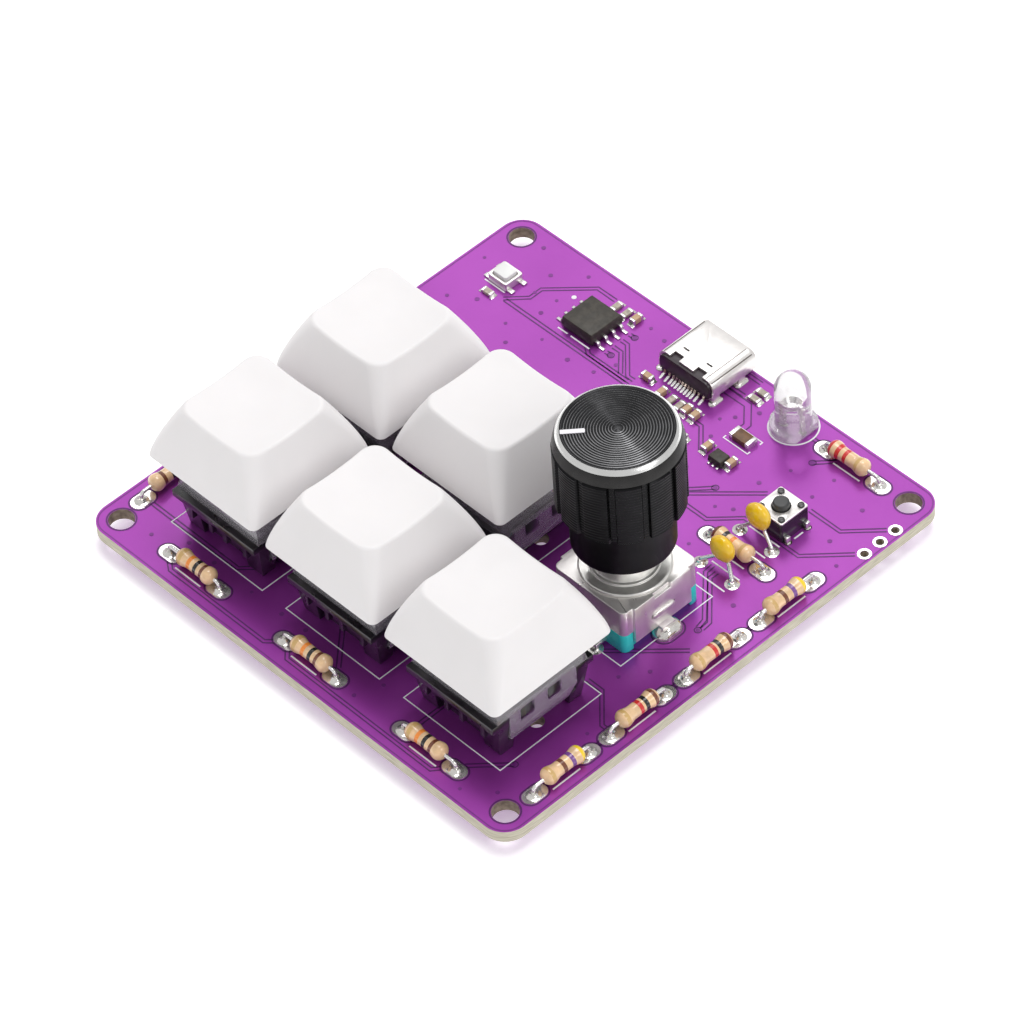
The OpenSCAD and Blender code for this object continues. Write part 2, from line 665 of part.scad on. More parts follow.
// Plastic block at the rear of the socket and the tongue inside it
module usb_tongue() {
    inner_w = usb_w - 2 * usb_sheet - 0.1;
    inner_h = usb_h - 2 * usb_sheet - 0.1;
    r = usb_h / 2 - 0.35 - usb_sheet - 0.05;
    color("black") translate([usb_x, usb_rear_y, seat + usb_h / 2]) {
        rotate([-90, 0, 0]) translate([0, 0, -0.35]) linear_extrude(1.6) round_rect(inner_w, inner_h, r);
        translate([0, tongue_root_t + tongue_l / 2 - 0.1, 0])
            block([tongue_w, tongue_l, tongue_t], -tongue_t / 2);
    }
}

// Feet of the socket's contacts, behind the plastic block
module usb_contacts() {
    color("silver") for (x = usb_pads) translate([usb_x + x, usb_rear_y, seat]) {
        translate([0, -0.75, 0]) block([0.26, 0.75, 0.15], 0);
        translate([0, -0.43, 0]) block([0.26, 0.12, 1.1], 0);
    }
}

// Reset button: plastic body, riveted plate and round plunger
module reset_body() {
    color("black") on_board(reset_place) {
        difference() {
            linear_extrude(reset_h - 0.2) round_rect(reset_w, reset_w, 0.25);
            translate([0, 0, 1.2]) cylinder(d = reset_button_d + 0.8, h = reset_h);
        }
        for (x = [-1, 1], y = [-1, 1]) translate([x * rivet_x, y * rivet_x, reset_h - 0.3])
            cylinder(d = rivet_d, h = 0.5);
    }
}

module reset_plate() {
    color("silver") on_board(reset_place) translate([0, 0, reset_h - 0.2]) linear_extrude(0.2) difference() {
        round_rect(reset_w, reset_w, 0.25);
        circle(d = reset_button_d + 0.3);
        for (x = [-1, 1], y = [-1, 1]) translate([x * rivet_x, y * rivet_x])
            circle(d = rivet_d + 2 * seat_gap);
    }
}

module reset_button() {
    color("black") on_board(reset_place) rotate_extrude() polygon([[0, 1.2 + reset_travel + 0.05],
        [reset_button_d / 2 + 0.25, 1.2 + reset_travel + 0.05], [reset_button_d / 2 + 0.25, reset_h - 0.35],
        [reset_button_d / 2, reset_h - 0.35], [reset_button_d / 2, reset_top_z - 0.15],
        [reset_button_d / 2 - 0.15, reset_top_z], [0, reset_top_z]]);
}

// Boot button: low metal covered body with a flat white plunger
module boot_body() {
    color("silver") on_board(boot_place) difference() {
        linear_extrude(boot_h) round_rect(boot_w, boot_d, 0.3);
        translate([0, 0, boot_h - 0.55]) linear_extrude(1) round_rect(2.5, 2.2, 0.4);
    }
}

module boot_button() {
    color("white") on_board(boot_place) translate([0, 0, boot_h - 0.55 + boot_travel + 0.05])
        linear_extrude(boot_top_z - boot_h + 0.5 - boot_travel) round_rect(2.5 - 0.2, 2.2 - 0.2, 0.35);
}

// Leads of the reset and boot buttons
module button_pins() {
    color("silver") {
        for (s = [-1, 1], y = reset_pin_y) on_board([reset_place[0], reset_place[1] + y]) {
            translate([s * reset_pin_x, 0, 0]) block([0.35, 0.6, 0.9 + board_t + trim_l], -board_t - trim_l);
            translate([s * (reset_w / 2 + reset_pin_x) / 2, 0, 0])
                block([reset_pin_x - reset_w / 2, 0.6, 0.3], 0.6);
        }
        for (s = [-1, 1], y = [-1, 1]) on_board([boot_place[0] + s * (boot_w / 2 + 0.4), boot_place[1] + y])
            block([0.8, 0.65, 0.25], 0);
    }
}

// Clear lamp with a flange and a domed top
module power_led() {
    color("white", 0.5) on_board(led_place) {
        difference() {
            union() {
                cylinder(d = led_flange_d, h = 1);
                cylinder(d = led_d, h = led_h - led_d / 2);
                translate([0, 0, led_h - led_d / 2]) sphere(d = led_d);
            }
            translate([led_d / 2, -led_d, -eps]) cube([led_d, 2 * led_d, 1 + 2 * eps]);
            for (s = [-1, 1]) translate([s * led_pitch / 2, 0, 0]) block([led_wire, led_wire, 3], -eps);
        }
    }
}

module led_leads() {
    color("silver") on_board(led_place) for (s = [-1, 1]) translate([s * led_pitch / 2, 0, 0])
        block([led_wire - 2 * seat_gap, led_wire - 2 * seat_gap, board_t + trim_l + 2.9], -board_t - trim_l);
}

// Memory chip with two rows of gull wing pins
module flash_chip() {
    color("darkslategray") on_board(flash_place)
        union() {
            leaning_block(flash_w - 0.3, flash_w - 0.3, flash_w, flash_w, 0.15, 0.9);
            leaning_block(flash_w, flash_w, flash_w - 0.35, flash_w - 0.35, 0.9, flash_h);
        }
}

module chip_pins() {
    toe = (flash_span - flash_w) / 2;
    color("silver") {
        on_board(flash_place) for (s = [-1, 1], n = [-1.5:1.5])
            translate([s * flash_w / 2, n * flash_pitch, 0]) scale([s, 1, 1]) rotate([90, 0, 0])
                translate([0, 0, -0.2]) linear_extrude(0.4)
                polygon([[0, 0.8], [0.4, 0.8], [0.55, 0.65], [0.65, 0.2], [toe, 0.2], [toe, 0], [0.5, 0],
                    [0.4, 0.1], [0.3, 0.6], [0, 0.65]]);
        on_board(regulator_place) for (s = [-1, 1], n = [-1, 0, 1])
            translate([n * 0.67, s * (regulator_w / 2 - 0.1), 0]) block([0.3, 0.5, 0.15], 0);
    }
}

module controller_chip() {
    color("black") on_board(controller_place) linear_extrude(0.85)
        round_rect(controller_w, controller_w, 0.15);
}

module crystal() {
    color("lightgray") on_board(crystal_place) linear_extrude(0.7) round_rect(3.2, 2.5, 0.3);
}

module regulator_chip() {
    color("black") on_board(regulator_place)
        leaning_block(regulator_w, regulator_w - 0.3, regulator_w - 0.2, regulator_w - 0.5, 0.15, 1);
}

module fuse() {
    color("dimgray") on_board(fuse_place) {
        block([2.1, 1.55, 0.7], 0.05);
        for (s = [-1, 1]) translate([s * 1.3, 0, 0]) block([0.5, 1.6, 0.8], 0);
    }
}

// Bodies of the small surface parts, between their terminals
module chip_bodies(places, h) {
    for (p = places) on_board(p) rotate(p[2]) block([chip_l - 2 * chip_end, chip_w, h], 0.02);
}

module chip_capacitors() {
    color("burlywood") chip_bodies(chip_caps, cap_chip_h);
}

module chip_resistors() {
    color("black") chip_bodies(chip_res, res_chip_h);
}

module chip_terminals() {
    color("silver") {
        for (p = chip_caps) on_board(p) rotate(p[2]) end_caps(cap_chip_h);
        for (p = chip_res) on_board(p) rotate(p[2]) end_caps(res_chip_h);
    }
}

module end_caps(h) {
    for (s = [-1, 1]) translate([s * (chip_l - chip_end) / 2, 0, 0])
        block([chip_end, chip_w + 0.04, h + 0.04], 0);
}

// Wire resistors: a waisted body with two bulging ends
module resistor_bodies() {
    steps = 12;
    function waist(u) = res_d / 2 *
        (u > 0.94 ? 0.72 : 0.86 + 0.14 * pow(sin(180 * max(0, u - 0.32) / 0.62), 2));
    half = [for (i = [0:steps]) let (u = i / steps) [waist(u), u * res_l / 2]];
    low = [for (i = [steps:-1:1]) [half[i][0], -half[i][1]]];
    profile = concat([[0, -res_l / 2]], low, half, [[0, res_l / 2]]);
    color("burlywood") for (r = resistors) on_board(r) rotate(r[2]) translate([0, 0, res_z])
        rotate([0, 90, 0]) rotate_extrude() polygon(profile);
}

// Dipped yellow capacitors that stand on their leads
module blob_capacitors() {
    color("orange") for (b = blobs) on_board([b[0], b[1] + b[2]]) translate([0, 0, b[3]])
        scale([blob_w, blob_t, blob_h]) sphere(d = 1, $fn = 20);
}

// A bent wire in the XZ plane, drawn as one tube of flat facets through a list of [x, z] points
module wire(path) {
    sides = 8;
    last = len(path) - 1;
    function way(a, b) = let (v = path[b] - path[a]) v / norm(v);
    function along(i) = let (t = way(max(i - 1, 0), max(i, 1)) + way(min(i, last - 1), min(i + 1, last)))
        t / norm(t);
    r = wire_d / 2;
    rings = [for (i = [0:last], k = [0:sides - 1]) let (t = along(i), a = 360 * (k + 0.5) / sides)
        [path[i][0] + r * sin(a) * t[1], r * cos(a), path[i][1] - r * sin(a) * t[0]]];
    walls = [for (i = [0:last - 1], k = [0:sides - 1])
        let (a = sides * i + k, b = sides * i + (k + 1) % sides)
        each [[a, b, b + sides], [a, b + sides, a + sides]]];
    end = sides * last;
    caps = [for (k = [1:sides - 2]) each [[0, k + 1, k], [end, end + k, end + k + 1]]];
    polyhedron(rings, concat(walls, caps));
}

module wire_leads() {
    low = -board_t - trim_l;
    spread = 0.9;
    elbow = [for (a = [90:-22.5:0]) [res_pitch / 2 - elbow_r, res_z - elbow_r] + elbow_r * [cos(a), sin(a)]];
    color("silver") {
        for (r = resistors) on_board(r) rotate(r[2]) for (s = [0, 180]) rotate(s)
            wire(concat([[res_l / 2, res_z]], elbow, [[res_pitch / 2, low]]));
        for (b = blobs, s = [-1, 1]) on_board(b) translate([s * blob_pitch / 2, 0, 0]) {
            top = b[3] - blob_h / 2 * sqrt(1 - pow(2 * spread / blob_w, 2)) + lead_sink;
            way = [s * (spread - blob_pitch / 2), b[2]];
            far = norm(way);
            rotate(atan2(way[1], way[0]))
                wire([[0, low], [0, 0.45], [0.05 * far, 0.62], [0.95 * far, top - 0.62],
                    [far, top - 0.45], [far, top]]);
        }
    }
}

// Solder that fills a hole and covers its pads, left hollow for the lead
module joint(lead_d, hole_d, pad_d, top_h, low_h) {
    wall = hole_d / 2 - seat_gap / 2;
    low = [[lead_d / 2 + seat_gap, -board_t - low_h], [lead_d / 2 + 0.12, -board_t - low_h],
        [lead_d / 2 + 0.22, -board_t - 0.5 * low_h], [pad_d / 2, -board_t - 0.05], [pad_d / 2, -board_t],
        [wall, -board_t]];
    top = top_h > 0 ? [[wall, 0], [pad_d / 2, 0], [pad_d / 2, 0.05], [lead_d / 2 + 0.22, 0.5 * top_h],
        [lead_d / 2 + 0.12, top_h], [lead_d / 2 + seat_gap, top_h]] : [[wall, 0], [lead_d / 2 + seat_gap, 0]];
    rotate_extrude() polygon(concat(low, top));
}

// A long tinned pad round a joint
module long_pad(l, w, hole_d, hole_x) {
    linear_extrude(0.06) difference() {
        stadium(l, w);
        translate([hole_x, 0]) circle(d = hole_d);
    }
}

// Solder round a flat foot in a slot
module slot_joint(l, w, slot_l, slot_w, foot_l, foot_w) {
    difference() {
        union() {
            linear_extrude(0.12) stadium(l, w);
            linear_extrude(0.25) stadium(l - 0.4, w - 0.4);
            translate([0, 0, -board_t]) linear_extrude(board_t + eps)
                stadium(slot_l - seat_gap, slot_w - seat_gap);
            translate([0, 0, -board_t - 0.12]) linear_extrude(0.12) stadium(l, w);
            translate([0, 0, -board_t - 0.3]) linear_extrude(0.3) stadium(l - 0.4, w - 0.4);
        }
        translate([0, 0, -board_t - 1]) linear_extrude(board_t + 2)
            square([foot_l + 2 * seat_gap, foot_w + 2 * seat_gap], center = true);
    }
}

module solder_joints() {
    color("gainsboro") {
        for (r = resistors) on_board(r) rotate(r[2]) for (s = [-1, 1]) translate([s * res_pitch / 2, 0, 0]) {
            joint(wire_d, lead_hole_d, pad_d, 0.4, 0.9);
            translate([-s * 0.2, 0, 0]) long_pad(res_pad[0], res_pad[1], 1, s * 0.2);
        }
        for (b = blobs, s = [-1, 1]) on_board(b) translate([s * blob_pitch / 2, 0, 0])
            joint(wire_d, lead_hole_d, 1.8, 0.4, 0.9);
        for (s = [-1, 1]) on_board([led_place[0] + s * led_pitch / 2, led_place[1]])
            joint(led_wire * sqrt(2), lead_hole_d, 1.7, 0, 0.9);
        for (sx = [-1, 1], y = reset_pin_y) on_board([reset_place[0] + sx * reset_pin_x, reset_place[1] + y])
            joint(0.7, reset_hole_d, pad_d, 0, 0.9);
        for (p = key_places, q = pin_places) on_board(p + q)
            joint(norm([pin_w, pin_t]), pin_hole_d, 2.4, 0, 1);
        on_board(enc_place) {
            for (p = concat([for (x = enc_pin_x) [x, -enc_pin_y]], [for (x = push_pin_x) [x, push_pin_y]]))
                translate(p) joint(norm(enc_pin), enc_pin_hole_d, pad_d, 0.25, 1);
            for (s = [-1, 1]) translate([s * lug_x, 0, 0]) rotate(90)
                slot_joint(3.8, 2.5, lug_slot[0], lug_slot[1], lug_w, lug_t);
        }
        for (s = [-1, 1], y = usb_leg_y) on_board([usb_x + s * (usb_w - usb_sheet) / 2, y]) rotate(90)
            slot_joint(2.1, 1.1, usb_leg_w + 0.5, 0.7, usb_leg_w, usb_sheet);
    }
}

circuit_board();
switch_base(1);  // switch_base_1
switch_base(2);  // switch_base_2
switch_base(3);  // switch_base_3
switch_base(4);  // switch_base_4
switch_base(5);  // switch_base_5
switch_cover(1);  // switch_cover_1
switch_cover(2);  // switch_cover_2
switch_cover(3);  // switch_cover_3
switch_cover(4);  // switch_cover_4
switch_cover(5);  // switch_cover_5
switch_stem(1);  // switch_stem_1
switch_stem(2);  // switch_stem_2
switch_stem(3);  // switch_stem_3
switch_stem(4);  // switch_stem_4
switch_stem(5);  // switch_stem_5
switch_spring(1);  // switch_spring_1
switch_spring(2);  // switch_spring_2
switch_spring(3);  // switch_spring_3
switch_spring(4);  // switch_spring_4
switch_spring(5);  // switch_spring_5
keycap(1);  // keycap_1
keycap(2);  // keycap_2
keycap(3);  // keycap_3
keycap(4);  // keycap_4
keycap(5);  // keycap_5
switch_pins();
encoder_base();
encoder_can();
encoder_bushing();
encoder_shaft();
encoder_plunger();
encoder_pins();
knob_body();
knob_insert();
usb_shell();
usb_tongue();
usb_contacts();
reset_body();
reset_plate();
reset_button();
boot_body();
boot_button();
button_pins();
power_led();
led_leads();
flash_chip();
chip_pins();
controller_chip();
crystal();
regulator_chip();
fuse();
chip_capacitors();
chip_resistors();
chip_terminals();
resistor_bodies();
blob_capacitors();
wire_leads();
solder_joints();
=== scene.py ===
import json
from math import copysign, cos, exp, pi, radians, sin, sqrt
import bmesh
import bpy
from mathutils import Matrix, Vector, noise


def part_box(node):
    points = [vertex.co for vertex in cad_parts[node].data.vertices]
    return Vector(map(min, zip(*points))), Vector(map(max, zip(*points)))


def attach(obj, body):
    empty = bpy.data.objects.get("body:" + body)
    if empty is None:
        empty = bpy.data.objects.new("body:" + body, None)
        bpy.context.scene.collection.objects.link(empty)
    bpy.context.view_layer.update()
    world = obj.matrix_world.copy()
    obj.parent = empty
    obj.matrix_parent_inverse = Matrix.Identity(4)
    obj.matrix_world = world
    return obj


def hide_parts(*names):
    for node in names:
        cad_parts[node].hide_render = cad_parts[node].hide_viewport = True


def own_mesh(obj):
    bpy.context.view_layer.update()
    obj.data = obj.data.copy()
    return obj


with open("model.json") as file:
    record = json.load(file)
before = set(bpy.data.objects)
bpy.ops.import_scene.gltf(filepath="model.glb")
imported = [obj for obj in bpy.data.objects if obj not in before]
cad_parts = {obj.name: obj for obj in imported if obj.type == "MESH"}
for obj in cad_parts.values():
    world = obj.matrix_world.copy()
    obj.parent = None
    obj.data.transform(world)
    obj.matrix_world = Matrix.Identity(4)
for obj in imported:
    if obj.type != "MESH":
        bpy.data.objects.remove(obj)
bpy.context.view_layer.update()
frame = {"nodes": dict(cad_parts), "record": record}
record = frame["record"]
mm = 0.001
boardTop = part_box("circuit_board")[1].z / mm
bodyOf = {node: body for body, names in record["behaviour"]["bodies"].items() for node in names}
print("frame loaded:", len(frame["nodes"]), "nodes")

# Places of the pieces on the board, in mm from the middle of the mounting holes
layout = {
    "keys": [(-19.7, -20.5), (-0.1, -20.5), (19.5, -20.5), (-19.7, -0.9), (-0.1, -0.9)],
    "encoder": (19.5, -0.9),
    "lamp": (13.9, 31.7),
    "resistorsAcross": [(-19.7, -31.65), (-0.1, -31.65), (19.5, -31.65), (23.45, 31.6), (23.3, 12.8)],
    "resistorsAlong": [(32.55, -24.0), (32.55, -12.17), (32.55, -0.34), (32.55, 11.49), (-32.5, -24.2)],
    "resistorPitch": 8.5, "boardThick": 1.6,
    "mountHoles": [(-32, -32), (32, -32), (32, 32), (-32, 32)],
}


# Camera, floor and light
studio = {
    "azimuth": 49.346, "elevation": 46.534, "roll": -4.344,
    "focalPixels": 5972.5, "framePixels": 1024, "sensor": 36, "distance": 685.55, "clip": (0.05, 20),
    "target": (-0.068, -0.240, 1.6),
    "floorZ": -1.9, "floorHalf": 3000, "floorGlow": 0.3, "worldLight": 0.63,
    "lights": {  # place and width in metres, and power
        "topSoftbox": ((-0.06, 0.20, 0.9), 0.5, 3.2),
        "smallSoftbox": ((-0.46, 0.13, 0.62), 0.09, 0.3),
        "rightSoftbox": ((0.8, 0.1, 0.6), 0.4, 1.5),
        "backSoftbox": ((-0.42, 0.42, 0.62), 0.30, 0.55)},
}


def newObject(name, data):
    obj = bpy.data.objects.new(name, data)
    bpy.context.scene.collection.objects.link(obj)
    return obj


def makeCamera():
    k = studio
    turn, rise, roll = (radians(k[name]) for name in ("azimuth", "elevation", "roll"))
    back = Vector((sin(turn) * cos(rise), -cos(turn) * cos(rise), sin(rise)))
    right = Vector((cos(turn), sin(turn), 0))
    up = back.cross(right)
    leanRight = right * cos(roll) + up * sin(roll)
    leanUp = up * cos(roll) - right * sin(roll)
    camera = newObject("photoCamera", bpy.data.cameras.new("photoCamera"))
    camera.data.sensor_width = k["sensor"]
    camera.data.lens = k["focalPixels"] / k["framePixels"] * k["sensor"]
    camera.data.clip_start, camera.data.clip_end = k["clip"]
    turned = Matrix((leanRight, leanUp, back)).transposed().to_4x4()
    camera.matrix_world = Matrix.Translation((Vector(k["target"]) + back * k["distance"]) * mm) @ turned
    bpy.context.scene.camera = camera


def makeLight(name, place, size, power):
    soft = bpy.data.lights.new(name, "AREA")
    soft.shape, soft.size, soft.energy = "DISK", size, power
    light = newObject(name, soft)
    light.location = place
    light.rotation_mode = "QUATERNION"
    light.rotation_quaternion = (-Vector(place)).to_track_quat("-Z", "Y")


def makeFloor():
    # a white floor that glows a little, so that shadows on it stay faint
    mesh = bpy.data.meshes.new("floor")
    half, z = studio["floorHalf"] * mm, studio["floorZ"] * mm
    mesh.from_pydata([(-half, -half, z), (half, -half, z), (half, half, z), (-half, half, z)], [], [(0, 1, 2, 3)])
    mesh.materials.append(plainFinish(
        "paleFloor", (0.98, 0.98, 0.98), 0.9, mottle=0.004, blotch=40, depth=0.0,
        Emission_Color=(1, 1, 1, 1), Emission_Strength=studio["floorGlow"]))
    newObject("floor", mesh)


def lightStudio():
    scene = bpy.context.scene
    scene.view_settings.view_transform = "Standard"
    scene.world = bpy.data.worlds.new("softRoom")
    scene.world.use_nodes = True
    sky = scene.world.node_tree.nodes["Background"].inputs
    sky["Color"].default_value = (1, 1, 1, 1)
    sky["Strength"].default_value = studio["worldLight"]
    for name, (place, size, power) in studio["lights"].items():
        makeLight(name, place, size, power)


# Material nodes; inputs are sockets to link or values to set, by name or number
def addNode(tree, kind, inputs=None, **settings):
    node = tree.nodes.new(kind)
    for key, value in settings.items():
        setattr(node, key, value)
    for key, value in (inputs or {}).items():
        named = [s for s in node.inputs if s.name == key and s.enabled]
        socket = named[0] if named else node.inputs[key]
        if isinstance(value, bpy.types.NodeSocket):
            tree.links.new(value, socket)
        else:
            socket.default_value = value
    return node


def outOf(tree, kind, inputs=None, **settings):
    # the first output in use of a new node
    return [s for s in addNode(tree, kind, inputs, **settings).outputs if s.enabled][0]


def mathOf(tree, kind, first, second=0.0):
    return outOf(tree, "ShaderNodeMath", {0: first, 1: second}, operation=kind)


def vectorOf(tree, kind, first, second=(0, 0, 0)):
    return outOf(tree, "ShaderNodeVectorMath", {0: first, 1: second}, operation=kind)


def mixColours(tree, share, first, second):
    return outOf(tree, "ShaderNodeMix", {"Factor": share, "A": first, "B": second}, data_type="RGBA")


def objectPlace(tree):
    return addNode(tree, "ShaderNodeTexCoord").outputs["Object"]


def newMaterial(name, roughness=0.5, **shaderValues):
    material = bpy.data.materials.new(name)
    material.use_nodes = True
    shader = material.node_tree.nodes["Principled BSDF"]
    shader.inputs["Roughness"].default_value = roughness
    for key, value in shaderValues.items():
        shader.inputs[key.replace("_", " ")].default_value = value
    return material, material.node_tree, shader


def objectNoise(tree, size, detail=3.0, stretch=(1, 1, 1)):
    # size is the width of one blotch in mm
    scaled = outOf(tree, "ShaderNodeMapping", {"Vector": objectPlace(tree), "Scale": stretch})
    return outOf(tree, "ShaderNodeTexNoise", {"Vector": scaled, "Scale": 1 / (size * mm), "Detail": detail})


noiseSpan = (0.3, 0.7)  # the part of a noise's range that colours and gloss are spread over


def blendColours(tree, share, low, high):
    ramp = addNode(tree, "ShaderNodeValToRGB", {"Fac": share})
    for end, position, colour in zip(ramp.color_ramp.elements, noiseSpan, (low, high)):
        end.position, end.color = position, (*colour, 1)
    return ramp.outputs["Color"]


def spreadValue(tree, share, low, high):
    return outOf(tree, "ShaderNodeMapRange", {"Value": share, "From Min": noiseSpan[0], "From Max": noiseSpan[1],
                                              "To Min": low, "To Max": high})


def roughen(tree, shader, grain, depth, stretch=(1, 1, 1)):
    height = objectNoise(tree, grain, 2.0, stretch)
    bump = outOf(tree, "ShaderNodeBump", {"Height": height, "Strength": 1.0, "Distance": depth * mm})
    tree.links.new(bump, shader.inputs["Normal"])


def plainFinish(name, colour, roughness, mottle=0.06, blotch=3.0, grain=0.25, depth=0.004,
                stretch=(1, 1, 1), **shaderValues):
    # a material with slight colour blotches, uneven gloss and a fine grain
    material, tree, shader = newMaterial(name, **shaderValues)
    share = objectNoise(tree, blotch, stretch=stretch)
    low = [c * (1 - mottle) for c in colour]
    high = [min(1, c * (1 + mottle)) for c in colour]
    tree.links.new(blendColours(tree, share, low, high), shader.inputs["Base Color"])
    uneven = objectNoise(tree, blotch * 0.6, stretch=stretch)
    gloss = spreadValue(tree, uneven, roughness * 0.85, min(1, roughness * 1.2))
    tree.links.new(gloss, shader.inputs["Roughness"])
    roughen(tree, shader, grain, depth, stretch)
    return material


def turnedFinish(name, colour, roughness, stretched, **more):
    # a lathe's fine rings round the knob's axis draw the gloss out across themselves
    material = plainFinish(name, colour, roughness, Anisotropic=stretched, Anisotropic_Rotation=0.25, **more)
    tree = material.node_tree
    axis = (layout["encoder"][0] * mm, layout["encoder"][1] * mm, 0)
    outward = vectorOf(tree, "SUBTRACT", objectPlace(tree), axis)
    around = vectorOf(tree, "CROSS_PRODUCT", outward, (0, 0, 1))
    turned = outOf(tree, "ShaderNodeVectorTransform", {"Vector": around}, vector_type="VECTOR",
                   convert_from="OBJECT", convert_to="WORLD")
    tree.links.new(turned, tree.nodes["Principled BSDF"].inputs["Tangent"])
    return material


boardLook = {
    "dark": (0.285, 0.033, 0.325), "light": (0.325, 0.044, 0.365), "maskBlotch": 14,
    "gap": (0.085, 0.010, 0.115), "dip": (0.17, 0.020, 0.21),
    "laminate": ((0.40, 0.37, 0.28), (0.62, 0.58, 0.47)), "laminateBlotch": 2.2, "laminateFlat": (1, 1, 12),
    # hole walls: the laminate painted darker, as painted shade inside the holes
    "holeWallPaintedShade": ((0.15, 0.11, 0.08), (0.36, 0.30, 0.22)), "holeBlotch": 0.8,
    "sideGloss": (0.8, 0.36), "sideMetal": (0.0, 0.55), "edgeFrom": 33.7, "grain": 0.5, "grainDepth": 0.006,
}


def boardFinish():
    # purple mask on the two faces, bare glass laminate round the edge, and the laminate painted darker in the holes
    # as painted shade
    k = boardLook
    material, tree, shader = newMaterial("purpleBoard", Coat_Weight=0.12, Coat_Roughness=0.15)
    where = addNode(tree, "ShaderNodeNewGeometry").outputs["Normal"]
    facing = addNode(tree, "ShaderNodeSeparateXYZ", {"Vector": where}).outputs["Z"]
    isFace = mathOf(tree, "GREATER_THAN", mathOf(tree, "ABSOLUTE", facing), 0.5)
    far = vectorOf(tree, "ABSOLUTE", objectPlace(tree))
    x, y, _ = addNode(tree, "ShaderNodeSeparateXYZ", {"Vector": far}).outputs
    isEdge = mathOf(tree, "GREATER_THAN", mathOf(tree, "MAXIMUM", x, y), k["edgeFrom"] * mm)
    mask = blendColours(tree, objectNoise(tree, k["maskBlotch"]), k["dark"], k["light"])
    layers = blendColours(tree, objectNoise(tree, k["laminateBlotch"], stretch=k["laminateFlat"]), *k["laminate"])
    # painted shade: the hole walls take a darker copy of the laminate
    holes = blendColours(tree, objectNoise(tree, k["holeBlotch"]), *k["holeWallPaintedShade"])
    side = mixColours(tree, isEdge, holes, layers)
    tree.links.new(mixColours(tree, isFace, side, mask), shader.inputs["Base Color"])
    tree.links.new(spreadValue(tree, isFace, *k["sideGloss"]), shader.inputs["Roughness"])
    tree.links.new(spreadValue(tree, isFace, *k["sideMetal"]), shader.inputs["Metallic"])  # copper under the mask
    roughen(tree, shader, k["grain"], k["grainDepth"])
    return material


def clearFinish(name, colour, roughness, ior, clearness, mottle=0.06, blotch=2.5, grain=0.8, depth=0.006, **more):
    # a clear plastic with faint clouds in it
    material, tree, shader = newMaterial(name, roughness, Transmission_Weight=clearness, IOR=ior, **more)
    low = [c * (1 - mottle) for c in colour]
    tree.links.new(blendColours(tree, objectNoise(tree, blotch), low, colour), shader.inputs["Base Color"])
    roughen(tree, shader, grain, depth)
    return material


